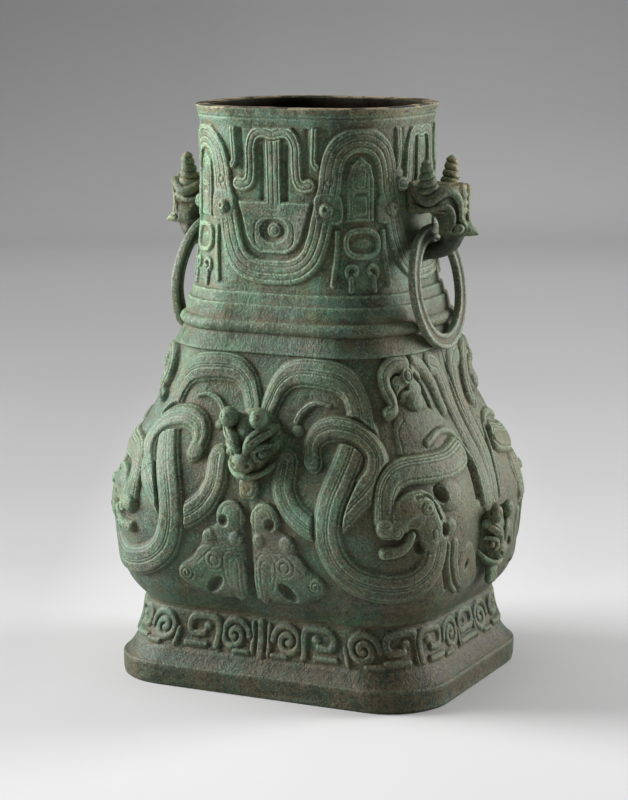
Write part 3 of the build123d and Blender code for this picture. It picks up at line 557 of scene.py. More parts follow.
def build_vessel():
    """The casting as one closed grid, from inside the foot, over the relief and the lip, to the floor."""
    share = np.linspace(0, 1, COLUMNS + 1)
    xs, ys, zs, lines, inner_shades, lifts = [], [], [], [], [], []

    def put(z, half, inset=0.0, lift=None, line=None, lean=0.0, scale=1.0, inside=0.0):
        x, y, nx, ny = ring_points(z, half, inset, share)
        zrow = np.full(share.shape, float(z))
        if lift is not None:
            tilt = 1 / math.sqrt(1 + lean * lean)
            x, y, zrow = x + nx * lift * tilt, y + ny * lift * tilt, zrow - lean * lift * tilt
        xs.append(all_round(x * scale, (-1, 1)))
        ys.append(all_round(y * scale, (1, -1)))
        zs.append(all_round(zrow, (1, 1)))
        blank = np.zeros(share.shape)
        lines.append(all_round(blank if line is None else line, (1, 1)))
        inner_shades.append(all_round(blank + inside, (1, 1)))
        lifts.append(all_round(blank if lift is None else lift, (1, 1)))
    for scale in (0.02, 0.3, 0.6, 0.85):
        put(UNDER_Z, UNDER_HALF, FOOT_WALL, scale=scale)
    for z in np.linspace(UNDER_Z, 0, 12):
        put(z, BASE_HALF + (UNDER_HALF - BASE_HALF) * z / UNDER_Z, FOOT_WALL)
    put(0, BASE_HALF, 4.0)
    for z, half, relief in outline_rows():
        slope = np.gradient(half, z)
        for i in range(len(z)):
            carved = (relief.h[i], relief.line[i]) if relief else (None, None)
            put(z[i], half[i], 0.0, *carved, slope[i])
    for inset in (3.0, 6.5, 10.0):
        put(TOP_Z, RIM_HALF, inset)
    # The inner lip, neck, belly and floor are painted near black as painted shade, fading in over the lip.
    for z, half, inner_shade in ((519.4, 103.4, 0.4), (518, 102.4, 0.95), (513, 101.4, 1.0)):
        put(z, half, LIP - 0.36 * (TOP_Z - z), inside=inner_shade)
    for z in np.linspace(500, 358, 24):
        put(z, half_at(NECK_LEVELS, z), WALL, inside=1.0)
    (low_z, low_half), (high_z, high_half) = BELLY_LEVELS[-1], NECK_LEVELS[0]
    for z in np.linspace(350, 312, 5):
        put(z, low_half + (high_half - low_half) * (z - low_z) / (high_z - low_z), WALL, inside=1.0)
    for z in np.linspace(low_z, 92, 30):
        put(z, half_at(BELLY_LEVELS, z), WALL, inside=1.0)
    put(85, 153, WALL, inside=1.0)
    for scale in (0.985, 0.9, 0.6, 0.3, 0.02):
        put(FLOOR_Z, FLOOR_HALF, WALL, scale=scale, inside=1.0)
    around = 4 * COLUMNS
    count = len(xs)
    verts = np.stack([np.concatenate(xs), np.concatenate(ys), np.concatenate(zs)], 1)
    # Unevenness of the casting, at two sizes.
    uneven = sum(size * grain((count, around), width, seed) for seed, (size, width) in
                 enumerate(((0.14, 7.0), (0.42, 24.0)))).ravel()
    flat = np.hypot(verts[:, 0], verts[:, 1])
    out = verts[:, :2] / np.maximum(flat, 1)[:, None]
    verts[:, :2] += out * (uneven * (verts[:, 2] > 3) * (flat > 60))[:, None]
    grid = np.arange(count * around).reshape(count, around)
    verts = np.vstack([verts, [[0, 0, UNDER_Z], [0, 0, FLOOR_Z]]])
    # Soil has stayed on the foot, round the masks, on the rim and over the right-hand side.
    x, y, z = verts.T
    by_mask = np.exp(-(x / 62)**2 - ((z - 245) / 42)**2)
    earth = (0.34 * ease(z, 70, 12) + 0.34 * ease(x, 40, 150) + 0.42 * by_mask
             + 0.9 * ease(z, 512, 519) + 0.25 * ease(z, 140, 85))
    # Raised bands are worn paler than the ground. Painted light makes the neck paler, most on its left,
    # and the belly paler on its left, toward the key lamp, and on the right-hand wall, toward the right lamp.
    # The bands under the neck, the belly's underside and the foot are darker.
    raised = np.append(np.concatenate(lifts), [0, 0])
    belly = ease(z, 76, 84) * ease(z, 307, 300)
    tone = (belly * (0.20 * ease(raised, 0.3, 5.0) - 0.16 + 0.12 * ease(x, -40, -110))
            + ease(z, 300, 330) * (0.24 + 0.36 * ease(x, 10, -80))
            - 0.24 * ease(z, 300, 308) * ease(z, 366, 354) + 0.10 * ease(z, 366, 390) * ease(x, 10, -80)
            - 0.26 * ease(z, 76, 64) - 0.40 * ease(z, 36, 30) - 0.30 * ease(z, 165, 95) * ease(z, 70, 84)
            + 0.18 * ease(x, 90, 150) * ease(z, 150, 200))
    warm = ease(x, 60, 150) * ease(z, 84, 130)
    marks = {"line": np.append(np.concatenate(lines), [0, 0]), "earth": np.clip(earth, 0, 1),
             "inside": np.append(np.concatenate(inner_shades), [0, 1]), "tone": np.clip(tone, -1, 1), "warm": warm,
             "rim": ease(z, 518.4, 519.4), "proud": ease(raised, 0.6, 3.0),
             "wear": 1 - 0.55 * ease(z, 80, 70)}
    return quads_to_mesh("vessel_casting", verts, grid_faces(grid), pole_faces(grid), marks, 40)


# Modelling in a volume: distances are joined and carved, then skinned.
def join(a, b, k=1.0):
    h = np.clip(0.5 + 0.5 * (b - a) / k, 0, 1)
    return b + (a - b) * h - k * h * (1 - h)


def carve(a, b, k=1.0):
    return -join(-a, b, k)


def skin(d, low, step):
    """Points and quads over the zero surface of a sampled distance."""
    shape = tuple(n - 1 for n in d.shape)
    total = np.zeros(shape + (3,))
    count = np.zeros(shape)
    crossings = []
    for axis in range(3):
        a = np.moveaxis(d, axis, 0)
        near, far = a[:-1], a[1:]
        crossing = (near < 0) != (far < 0)
        share = np.where(crossing, near / np.where(crossing, near - far, 1), 0)
        crossings.append((np.moveaxis(crossing, 0, axis), np.moveaxis(near < 0, 0, axis)))
        crossing, share = np.moveaxis(crossing, 0, axis), np.moveaxis(share, 0, axis)
        others = [k for k in range(3) if k != axis]
        for j in (0, 1):
            for k in (0, 1):
                cut = [slice(None)] * 3
                cut[others[0]] = slice(j, d.shape[others[0]] - 1 + j)
                cut[others[1]] = slice(k, d.shape[others[1]] - 1 + k)
                c, s = crossing[tuple(cut)], share[tuple(cut)]
                total[..., axis] += s * c
                total[..., others[0]] += j * c
                total[..., others[1]] += k * c
                count += c
    used = count > 0
    index = np.full(shape, -1)
    index[used] = np.arange(used.sum())
    verts = (np.argwhere(used) + total[used] / count[used][:, None]) * step + low
    quads = []
    for axis in range(3):
        order = (axis, (axis + 1) % 3, (axis + 2) % 3)
        crossing, inward = (np.transpose(v, order)[:, 1:-1, 1:-1] for v in crossings[axis])
        cells = np.transpose(index, order)
        four = np.stack([cells[:, :-1, :-1], cells[:, 1:, :-1], cells[:, 1:, 1:], cells[:, :-1, 1:]], -1)
        out = four[crossing]
        back = ~inward[crossing]
        out[back] = out[back][:, ::-1]
        quads.append(out)
    return verts, np.vstack(quads)


class Clay:
    """A lump in a sampled volume."""

    def __init__(self, low, high, step=0.9):
        self.low, self.step = np.array(low, float), step
        axes = [np.arange(a, b + step, step) for a, b in zip(low, high)]
        self.p = np.meshgrid(*axes, indexing="ij")
        self.d = np.full(self.p[0].shape, 1e3)

    def ball(self, c, radii):
        radii = np.broadcast_to(radii, 3)
        k = np.sqrt(sum(((self.p[n] - c[n]) / radii[n])**2 for n in range(3)))
        return (k - 1) * radii.min()

    def tube(self, points, radii, squeeze=(1, 1, 1)):
        pts = smooth_path(points, 5) if len(points) > 2 else np.array(points, float)
        rad = np.interp(np.linspace(0, 1, len(pts)), np.linspace(0, 1, len(radii)), radii)
        s = np.array(squeeze, float)
        best = None
        for a, b, ra, rb in zip(pts[:-1] / s, pts[1:] / s, rad[:-1], rad[1:]):
            e = b - a
            q = [self.p[k] / s[k] - a[k] for k in range(3)]
            t = np.clip(sum(q[k] * e[k] for k in range(3)) / max(e @ e, 1e-9), 0, 1)
            d = np.sqrt(sum((q[k] - t * e[k])**2 for k in range(3))) - (ra + (rb - ra) * t)
            best = d if best is None else np.minimum(best, d)
        return best * s.min()

    def block(self, c, half, r):
        q = [abs(self.p[k] - c[k]) - half[k] + r for k in range(3)]
        outside = np.sqrt(sum(np.maximum(v, 0)**2 for v in q))
        return outside + np.minimum(np.maximum(np.maximum(q[0], q[1]), q[2]), 0) - r

    def add(self, d, k=1.5):
        self.d = join(self.d, d, k)

    def cut(self, d, k=1.0):
        self.d = carve(self.d, d, k)

    def skin(self):
        return skin(self.d, self.low, self.step)


def sculpt_handle():
    """Beast head with a loop under its snout, on the +X face, in the vessel's own place."""
    c = Clay((96, -36, 377), (160, 36, 457), 0.75)
    # Modelled on the positive side of y and mirrored by the absolute value.
    full_y = c.p[1]
    c.p[1] = abs(full_y)
    x, y, z = c.p
    # Head with a blunt prow, and the snout below it.
    c.add(c.block((121, 0, 438.5), (24, 26.5, 12), 6))
    c.add(c.block((129, 0, 419), (15, 15, 12), 5), 4)
    c.cut(0.92 * (144.6 - x) - 0.391 * y, 3)
    c.cut(0.874 * (138 - x) + 0.486 * (16 - y), 3)
    c.add(c.block((106, 0, 437), (8, 19, 14), 5), 4)
    # Pointed beak.
    c.add(c.tube([(131, 0, 413), (141, 0, 412.4), (149, 0, 410.0), (156.2, 0, 407.6)], [8.6, 7.4, 4.6, 1.0],
                 (1, 1.35, 1)), 2.0)
    # Loop: the jaw curls back to the neck.
    c.add(c.tube([(137, 0, 404.5), (130.5, 0, 398.2), (121.5, 0, 393.2), (110.5, 0, 390.6), (99, 0, 391)],
                 [5.0, 7.2, 7.8, 7.4, 8.2], (1, 1.45, 1)), 3)
    c.add(c.tube([(131, 0, 424), (130.5, 0, 413), (128.5, 0, 403)], [8, 7, 6.5], (1, 1.7, 1)), 4)
    # Hole for the ring, widening to both sides under the head.
    hole = np.hypot(x - 111, z - 413) - 12.4 - 0.2 * np.clip(y - 8, 0, None)
    c.cut(np.maximum(hole, z - 427.5), 1.5)
    c.cut(c.block((94, 0, 413), (9, 60, 12), 1), 1)
    # Root plates on the neck.
    c.add(c.block((101.5, 0, 391), (3.2, 15, 11), 3), 2)
    c.add(c.block((101.5, 0, 440), (3.4, 25, 14), 4), 3)
    # Thick brow that sags under the horn, runs along the head's edge and turns down to the beak.
    c.add(c.tube([(103, 24, 446), (109, 27, 443.5), (116, 30, 439), (123, 30.4, 438), (129, 27.6, 442),
                  (134.5, 22, 445.6),
                  (138.8, 15.2, 444.6), (141, 9.8, 438.5), (142, 7.6, 430), (142.4, 7.0, 422), (146, 5, 415)],
                 [3.0, 4.0, 4.9, 4.9, 4.4, 4.2, 4.2, 4.0, 3.4, 3.0, 2.2]), 1.0)
    c.cut(c.tube([(106, 28.5, 437.5), (115, 32.0, 433.2), (123, 32.4, 432.2), (130, 28.6, 436.2),
                  (136, 21.6, 439.6),
                  (140, 13.8, 435.2), (140.8, 10.8, 427), (140.8, 10.2, 418.5)],
                 [1.4, 1.8, 1.8, 1.7, 1.7, 1.6, 1.5]), 0.6)
    # Double line round the cheek, with a spiral inside it.
    c.add(c.tube([(104, 25.5, 434), (113, 27.4, 430.6), (121, 27.8, 429.8), (128.5, 25.2, 432.4),
                  (134, 21, 433.6),
                  (137.2, 16.4, 429.8), (138.2, 13.4, 423), (138.2, 12.6, 415.5)],
                 [1.8, 2.4, 2.6, 2.6, 2.6, 2.5, 2.4, 1.8]), 0.7)
    c.cut(c.tube([(106, 27.6, 429.5), (114, 28.8, 426.8), (121, 28.6, 426.2), (127, 26.2, 428.2),
                  (132.4, 22, 429.2),
                  (135.2, 17.8, 425), (135.6, 15.6, 417)], [1.0, 1.2, 1.2, 1.2]), 0.5)
    c.cut(c.tube([(121, 24.8, 426.5), (129, 21.6, 426), (132, 17.6, 420.5), (128.4, 16.8, 416.2),
                  (124.6, 17.4, 418.6),
                  (127, 18.4, 421.6)], [1.0, 1.1, 1.0]), 0.5)
    # Low knuckles down the nose, nostril curls and the line of the mouth.
    for nose_x, nose_z in ((142.2, 448), (142.9, 441.5), (143.0, 434.6), (142.4, 427.8)):
        c.add(c.ball((nose_x, 0, nose_z), (2.4, 5.4, 3.6)), 1.2)
    c.add(c.ball((141.5, 9.6, 412.6), (5.2, 4.4, 4.6)), 1.0)
    c.cut(c.tube([(137.5, 13, 411), (141, 14.2, 415.4), (145, 12.2, 413), (142.6, 13.8, 410.6),
                  (140.8, 14.2, 412.6)],
                 [0.9, 1.0, 0.9]), 0.5)
    c.cut(c.tube([(154, 3, 404.6), (144, 10.5, 404.2), (135, 14.5, 404.6), (129, 15.5, 405.5)],
                 [1.3, 1.5, 1.2]), 0.8)
    # Lines along the jaw's outer edge.
    for offset in (0.0, 8.0):
        c.cut(c.tube([(140, offset, 400.0), (134, offset, 392.2), (124, offset, 386.0), (111, offset, 383.2),
                      (101, offset, 382.8)], [0.9, 0.9]), 0.7)
    # Brow plate between the horns.
    c.add(c.block((118, 0, 450.0), (15, 11, 1.8), 1.4), 1.0)
    for bar_x in (110, 116, 122, 128):
        c.cut(c.tube([(bar_x, -1, 452.6), (bar_x, 9, 452.6)], [0.9, 0.9]), 0.5)
    c.p[1] = full_y
    c.d = np.maximum(c.d, 98.5 - c.p[0])
    return c.skin()


def sculpt_mask():
    """Beast mask that stands well out of the wall, with its root on y = 0, looking along +Y."""
    c = Clay((-38, -12, -58), (38, 43, 42), 0.85)
    # Modelled on the positive side of x and mirrored by the absolute value.
    full_x = c.p[0]
    c.p[0] = abs(full_x)
    c.add(c.ball((0, 0, 0), (29, 12, 30)))
    c.add(c.ball((0, 12, -2), (20, 14, 18)), 4)
    c.add(c.ball((0, 14, -12), (17, 13, 12)), 4)
    c.add(c.ball((0, 13, -23), (14, 12, 9)), 4)
    c.add(c.ball((0, 17, 8), (15, 11.5, 17)), 4)
    # Knobbed horns with a saddle between them.
    c.add(c.tube([(13, 4, 14), (16, 20, 23)], [9.5, 7.6]), 2)
    c.add(c.ball((16.5, 26.5, 25.5), 9.2), 1)
    c.cut(c.ball((0, 37, 30), (7, 14, 9)), 4)
    c.cut(c.tube([(12.0, 34.4, 27), (16, 36.0, 30.5), (20.5, 34.0, 28.5), (18.6, 35.8, 24.5),
                  (15.4, 36.4, 25.5)], [0.9, 0.9]), 0.5)
    # Broad brows that sweep up and out under the horns, with lines along them.
    c.add(c.tube([(4.6, 29.5, -5), (6, 30.5, 0), (10, 29.5, 6), (17, 24.5, 11.5), (23, 17, 15), (26, 10, 16)],
                 [3.6, 5.0, 6.2, 6.2, 5.2, 3.4]), 1.4)
    c.cut(c.tube([(6, 36.8, -1), (10.5, 35.8, 6.5), (17.5, 30.6, 12.5), (24.5, 22.0, 16.5)], [0.8, 0.9, 0.8]),
          0.6)
    c.cut(c.tube([(9.5, 34.2, -1), (14.5, 31.8, 4.5), (21, 25.8, 9.5), (27, 16.4, 12.5)], [0.6, 0.7, 0.6]),
          0.5)
    # Comma that curls round each eye.
    c.cut(c.ball((18, 28, -4), (8, 7, 6)), 3)
    c.add(c.ball((17.2, 22.5, -5.5), (4.6, 4.6, 4.2)), 0.8)
    c.add(c.tube([(14, 26.5, -11), (11.2, 29, -6.5), (13, 28.2, -1.5), (19, 23.6, 0.8), (26, 14, 2)],
                 [2.2, 2.8, 3.0, 2.8, 1.8]), 0.7)
    # Ball nose, nostrils and the long line of the mouth.
    c.add(c.ball((0, 27, -13), (12.5, 10.5, 10)), 1.0)
    c.cut(c.ball((8.0, 34.6, -15.5), (2.8, 3.0, 2.4)), 0.8)
    c.add(c.tube([(28, 4, -12), (24, 12, -18), (17, 19.5, -23), (8, 25.5, -26), (0, 27.5, -26.5)],
                 [2.4, 2.8, 3.0, 3.0, 3.0]), 1.5)
    c.cut(c.tube([(27, 8.5, -9.5), (23.5, 15.5, -15), (16, 23, -20), (8, 29, -22.6), (0, 31, -23.4)],
                 [1.0, 1.2, 1.3, 1.3, 1.3]), 0.7)
    c.cut(c.tube([(25, 11.5, -20.5), (17, 20, -26), (8, 25.5, -29), (0, 27, -29.6)], [0.8, 0.8, 0.9, 0.9]),
          0.6)
    # Tongue below.
    c.add(c.block((0, 14.5, -39), (11.5, 7, 10.5), 6), 1.5)
    c.cut(c.tube([(7.5, 21.8, -32), (7.5, 21.6, -40), (4.5, 21.4, -45), (0, 21.2, -46)], [0.9, 0.9]), 0.6)
    c.cut(c.tube([(3.5, 21.8, -37), (2.5, 21.8, -40), (0, 21.8, -41)], [0.7, 0.7]), 0.5)
    c.p[0] = full_x
    c.d = np.maximum(c.d, -11 - c.p[1])
    return c.skin()


def leaned(p, degrees):
    """Points turned about the X axis."""
    c, s = math.cos(math.radians(degrees)), math.sin(math.radians(degrees))
    return np.stack([p[:, 0], p[:, 1] * c - p[:, 2] * s, p[:, 1] * s + p[:, 2] * c], 1)


def build_horn(name, front, right):
    """Conch horn: a blunt cone wound with a fat coil, its seat on the head."""
    rows, cols = 150, 64
    height, base, tip, whorls, lean = 34.0, 11.0, 4.5, 5.2, 11.0
    seat = np.array([119.0, -22.5, 440.5])
    v = np.linspace(0, 1, rows)[:, None]
    a = np.linspace(0, 2 * math.pi, cols, endpoint=False)[None, :]
    phase = v * whorls - a / (2 * math.pi) + 0.15
    f = phase - np.floor(phase)
    coil = np.sqrt(np.clip(1 - (2 * f - 1)**2, 0, 1))
    core = base + (tip - base) * v
    radius = core * (1 - 0.30 * (1 - coil) * np.clip((1 - v) * 14, 0, 1))
    radius = radius * np.sqrt(np.clip((1 - v) * 9, 0.0004, 1))
    x, y, z = radius * np.cos(a), radius * np.sin(a), v * height + 0 * a
    verts = np.stack([x.ravel(), y.ravel(), z.ravel()], 1)
    verts = np.vstack([verts, [[0, 0, 0], [0, 0, height + 0.1]]])
    verts = (leaned(verts, lean) + seat) * np.array([1 if right else -1, 1 if front else -1, 1])
    grid = np.arange(rows * cols).reshape(rows, cols)
    quads, tris = grid_faces(grid), pole_faces(grid)
    if front != right:
        quads, tris = quads[:, ::-1], tris[:, ::-1]
    tone, earth = (0.3, 0.2) if front else (1.0, 0.8)
    marks = {"shelter": 1.6, "tone": np.full(len(verts), tone), "earth": np.full(len(verts), earth)}
    return quads_to_mesh(name, verts, quads, tris, marks, 12)


def build_ring(name, right):
    """Cast ring with a channel along each face, hanging in its loop."""
    outer, inner, thick = 56.0, 42.5, 7.0
    mid, half_w, half_t = (outer + inner) / 2, (outer - inner) / 2, thick / 2
    quarter = [(half_w, 0.0), (half_w, half_t * 0.6), (half_w - 0.35, half_t * 0.88), (half_w - 1.1, half_t),
               (half_w - 2.6, half_t), (half_w - 3.6, half_t * 0.94), (2.4, half_t * 0.62),
               (1.4, half_t * 0.54),
               (0.0, half_t * 0.52)]
    right_half = quarter + [(-w, t) for w, t in quarter[-2::-1]]
    section = np.array(right_half + [(w, -t) for w, t in right_half[-2:0:-1]])
    # A slight wobble and uneven wear run round it.
    count = 260
    a = np.linspace(0, 2 * math.pi, count, endpoint=False)[:, None]
    wobble = 1 + 0.006 * np.sin(3 * a + 0.7) + 0.004 * np.sin(7 * a)
    wear = 0.25 * np.sin(11 * a + 1.3) + 0.2 * np.sin(23 * a)
    w = section[None, :, 0] * (1 + 0.02 * wear)
    t = section[None, :, 1] * (1 + 0.03 * wear)
    radius = (mid + w) * wobble
    lean = math.radians(8.4)
    down = np.array([math.sin(lean), 0, -math.cos(lean)])
    axis = np.array([math.cos(lean), 0, math.sin(lean)])
    across = np.array([0, 1.0, 0])
    pivot = np.array([111.0, 0, 408.15])
    centre = pivot + down * mid
    verts = (centre + (radius * np.cos(a))[..., None] * down + (radius * np.sin(a))[..., None] * across
             + t[..., None] * axis).reshape(-1, 3)
    quads = grid_faces(np.arange(count * len(section)).reshape(count, -1), closed=True)
    if right:
        quads = quads[:, ::-1]
    else:
        verts[:, 0] *= -1
    return quads_to_mesh(name, verts, quads, (), {"shelter": 0.4}, 9)


class Paint:
    """A node material written as a list of nodes."""

    def __init__(self, name):
        self.m = bpy.data.materials.new(name)
        self.m.use_nodes = True
        self.t = self.m.node_tree
        self.shader = self.t.nodes["Principled BSDF"]
        self.coord = self.t.nodes.new("ShaderNodeTexCoord").outputs["Object"]

    def feed(self, socket, value):
        """Link a socket to another, or set its number or colour."""
        if isinstance(value, bpy.types.NodeSocket):
            self.t.links.new(value, socket)
        else:
            socket.default_value = value + (1.0,) if isinstance(value, tuple) else value

    def node(self, kind):
        return self.t.nodes.new("ShaderNode" + kind)

    def wire(self, node, out, inputs):
        for key, value in inputs.items():
            self.feed(node.inputs[key], value)
        return node.outputs[out]

    def noise(self, scale, detail, rough, warp=0.0):
        return self.wire(self.node("TexNoise"), "Fac", {"Scale": scale, "Detail": detail, "Roughness": rough,
                                                        "Distortion": warp, "Vector": self.coord})

    def cells(self, scale):
        return self.wire(self.node("TexVoronoi"), "Distance", {"Scale": scale, "Vector": self.coord})

    def mark(self, name):
        n = self.node("Attribute")
        n.attribute_name = name
        return n.outputs["Fac"]

    def span(self, value, low, high, to_low=0.0, to_high=1.0):
        n = self.node("MapRange")
        n.interpolation_type = "SMOOTHSTEP"
        return self.wire(n, "Result", {"From Min": low, "From Max": high, "To Min": to_low, "To Max": to_high,
                                       "Value": value})

    def math(self, kind, a, b):
        n = self.node("Math")
        n.operation = kind
        return self.wire(n, 0, {0: a, 1: b})

    def times(self, a, b):
        return self.math("MULTIPLY", a, b)

    def mix(self, share, a, b):
        n = self.node("Mix")
        n.data_type = "RGBA"
        n.clamp_factor = True
        return self.wire(n, 2, {0: share, 6: a, 7: b})

    def scale(self, colour, gain):
        n = self.node("VectorMath")
        n.operation = "SCALE"
        return self.wire(n, 0, {0: colour, "Scale": gain})

    def bump(self, height, distance, strength, under=None):
        inputs = {"Distance": distance, "Strength": strength, "Height": height}
        if under is not None:
            inputs["Normal"] = under
        return self.wire(self.node("Bump"), "Normal", inputs)

    def put(self, key, value):
        self.feed(self.shader.inputs[key], value)


# Colours that every patina shares.
TEAL, SLATE = (0.075, 0.158, 0.112), (0.050, 0.064, 0.062)
WARM, DUST = (0.152, 0.126, 0.072), (0.145, 0.126, 0.092)
SPOT, PIT, TAN = (0.175, 0.136, 0.076), (0.020, 0.020, 0.011), (0.190, 0.140, 0.062)
# Painted shade for engraved grooves and for hollows, then dark grit.
GROOVE_SHADE, HOLLOW_SHADE, GRIT = (0.020, 0.024, 0.013), (0.022, 0.019, 0.009), (0.014, 0.018, 0.010)
# Lip colours, then near black painted shade for the inner walls.
LIP_DARK, LIP_PALE, INSIDE_SHADE = (0.034, 0.026, 0.015), (0.300, 0.236, 0.145), (0.010, 0.007, 0.005)


def patina(name, deep, green, pale, earth, earth_share, pale_share=1.0, teal_share=0.75):
    """Old bronze under a dull green crust, pale on edges, earth brown in patches, darkened by painted shade
    in hollows, in engraved grooves and on the inner walls.
    """
    p = Paint(name)
    fine = p.noise(430, 3, 0.65)
    grit = p.noise(900, 2, 0.6)
    hollow, soiled, line = p.mark("hollow"), p.mark("earth"), p.mark("line")
    colour = p.mix(p.span(p.noise(32, 9, 0.74), 0.40, 0.60), deep, green)
    teal = p.times(p.span(p.noise(15, 8, 0.70, 0.5), 0.50, 0.62), teal_share)
    colour = p.mix(teal, colour, TEAL)
    slate = p.times(p.span(p.noise(11, 8, 0.70, 0.5), 0.53, 0.62), 0.60)
    colour = p.mix(slate, colour, SLATE)
    # Earth in patches, where soil has stayed and in the hollows, then dust on what stands proud.
    patchy = p.noise(20, 9, 0.76, 0.9)
    rust = p.times(p.span(patchy, 0.50, 0.60), earth_share)
    rust = p.math("ADD", rust, p.times(soiled, p.span(patchy, 0.42, 0.56)))
    rust = p.math("ADD", rust, p.times(hollow, p.span(patchy, 0.40, 0.54, 0.2, 1.1)))
    colour = p.mix(rust, colour, earth)
    colour = p.mix(p.times(p.mark("warm"), 0.42), colour, WARM)
    proud = p.span(p.mark("proud"), 0.0, 1.0, 0.10, 0.45)
    dusty = p.times(p.span(p.noise(24, 9, 0.74, 0.8), 0.47, 0.58), proud)
    colour = p.mix(dusty, colour, DUST)
    colour = p.mix(p.times(p.span(fine, 0.53, 0.66), 0.36), colour, pale)
    spots = p.times(p.span(p.noise(75, 8, 0.78, 0.4), 0.52, 0.58), p.span(soiled, 0.0, 1.0, 0.06, 0.9))
    colour = p.mix(spots, colour, SPOT)
    pits = p.times(p.span(p.noise(210, 5, 0.74), 0.47, 0.39), p.span(soiled, 0.0, 0.6, 0.25, 0.85))
    colour = p.mix(pits, colour, PIT)
    tan = p.times(p.span(p.noise(240, 5, 0.75), 0.54, 0.66), p.span(soiled, 0.0, 1.0, 0.60, 1.0))
    colour = p.mix(tan, colour, TAN)
    # Burrs and edges are worn pale; the engraved grooves are painted dark as painted shade.
    worn = p.math("ADD", p.times(p.span(line, 0.0, 1.0), 0.44), p.times(p.mark("edge"), 0.50))
    worn = p.times(p.times(worn, pale_share), p.span(fine, 0.38, 0.58, 0.2, 1.0))
    colour = p.mix(worn, colour, pale)
    groove = p.times(p.span(line, 0.0, -1.0), p.span(patchy, 0.38, 0.58, 0.62, 0.22))
    colour = p.mix(groove, colour, GROOVE_SHADE)
    # The tone mark scales the colour; on the casting it includes painted light on the neck and the sides.
    colour = p.scale(colour, p.span(p.mark("tone"), -1.0, 1.0, 0.42, 1.58))
    lip = p.mix(p.span(p.noise(38, 7, 0.70, 0.6), 0.50, 0.56), LIP_DARK, LIP_PALE)
    colour = p.mix(p.mark("rim"), colour, lip)
    # Hollows are darkened toward near black as painted shade.
    colour = p.mix(p.times(hollow, 0.78), colour, HOLLOW_SHADE)
    colour = p.mix(p.times(p.span(grit, 0.47, 0.36), 0.75), colour, GRIT)
    # The inner walls are painted near black as painted shade, with their reflection turned down.
    inside = p.mark("inside")
    colour = p.mix(inside, colour, INSIDE_SHADE)
    p.put("Base Color", colour)
    p.put("Roughness", p.span(fine, 0.3, 0.7, 0.42, 0.70))
    p.put("Metallic", 0.0)
    p.put("Specular IOR Level", p.span(inside, 0.0, 0.5, 0.28, 0.02))
    normal = p.bump(p.noise(130, 7, 0.68), 0.0022, 0.55)
    normal = p.bump(p.cells(480), 0.0007, 0.35, normal)
    p.put("Normal", p.bump(fine, 0.0009, 0.42, normal))
    return p.m


def simple_paint(name, low, high, scale, rough):
    """Grainy finish for the pieces inside the casting."""
    p = Paint(name)
    grain = p.noise(scale, 6, 0.65)
    colour = p.mix(p.span(grain, 0.3, 0.7), low, high)
    specks = p.times(p.span(p.noise(scale * 8, 3, 0.5), 0.55, 0.7), 0.5)
    colour = p.mix(specks, colour, tuple(0.5 * v for v in low))
    p.put("Base Color", colour)
    p.put("Roughness", p.span(grain, 0.3, 0.7, rough - 0.1, rough + 0.1))
    p.put("Normal", p.bump(p.noise(scale * 5, 4, 0.6), 0.0008, 0.5))
    return p.m


body_paint = patina("bronze_patina_body", (0.022, 0.038, 0.019), (0.060, 0.132, 0.070), (0.25, 0.36, 0.235),
                    (0.108, 0.092, 0.038), 0.42)
handle_paint = patina("bronze_patina_handle", (0.022, 0.036, 0.017), (0.062, 0.108, 0.056),
                      (0.31, 0.32, 0.20),
                      (0.150, 0.112, 0.050), 0.55, 1.2, 0.3)
horn_paint = patina("bronze_patina_horn", (0.030, 0.056, 0.028), (0.085, 0.142, 0.080), (0.29, 0.33, 0.22),
                    (0.160, 0.122, 0.055), 0.65, 1.1, 0.3)
ring_paint = patina("bronze_patina_ring", (0.048, 0.070, 0.040), (0.120, 0.170, 0.110), (0.38, 0.42, 0.31),
                    (0.150, 0.105, 0.045), 0.60, 0.9, 0.4)
spacer_paint = simple_paint("spacer_bronze", (0.07, 0.06, 0.035), (0.12, 0.14, 0.10), 90, 0.6)
clay_paint = simple_paint("fired_clay", (0.11, 0.06, 0.04), (0.20, 0.12, 0.08), 120, 0.9)


def finish_piece(obj, paint, body, slot, *nodes):
    obj.data.materials.append(paint)
    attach(obj, body)
    if nodes:
        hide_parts(*nodes)


finish_piece(build_vessel(), body_paint, "vessel", "patinated_bronze_body", "vessel_body")

verts, quads = sculpt_handle()
x, y, z = verts.T
# The beak and the head's root are paler, the jaw is darker, and soil has stayed on top and at the root.
tone = (1.2 * ease(x, 137, 150) * ease(z, 402, 408) + 0.3 * ease(x, 114, 102) * ease(z, 420, 432)
        - ease(z, 409, 399))
earth = 0.4 * ease(z, 444, 450) + 0.6 * ease(x, 116, 104) * ease(z, 420, 432)
head_marks = {"shelter": 1.9, "tone": np.clip(tone, -1, 1), "earth": np.clip(earth, 0, 1)}
for side, sign in (("right", 1), ("left", -1)):
    place = verts * np.array([sign, 1, 1])
    faces = quads if sign > 0 else quads[:, ::-1]
    obj = quads_to_mesh("beast_head_" + side, place, faces, (), head_marks, 16)
    finish_piece(obj, handle_paint, "vessel", "patinated_bronze_handle", "handle_" + side)
    for where in ("front", "back"):
        horn = build_horn("conch_horn_" + where + "_" + side, where == "front", sign > 0)
        finish_piece(horn, horn_paint, "vessel", "patinated_bronze_horn", "horn_" + where + "_" + side)
    ring = build_ring("loose_ring_" + side, sign > 0)
    finish_piece(ring, ring_paint, "ring_" + side, "patinated_bronze_ring", "ring_" + side)

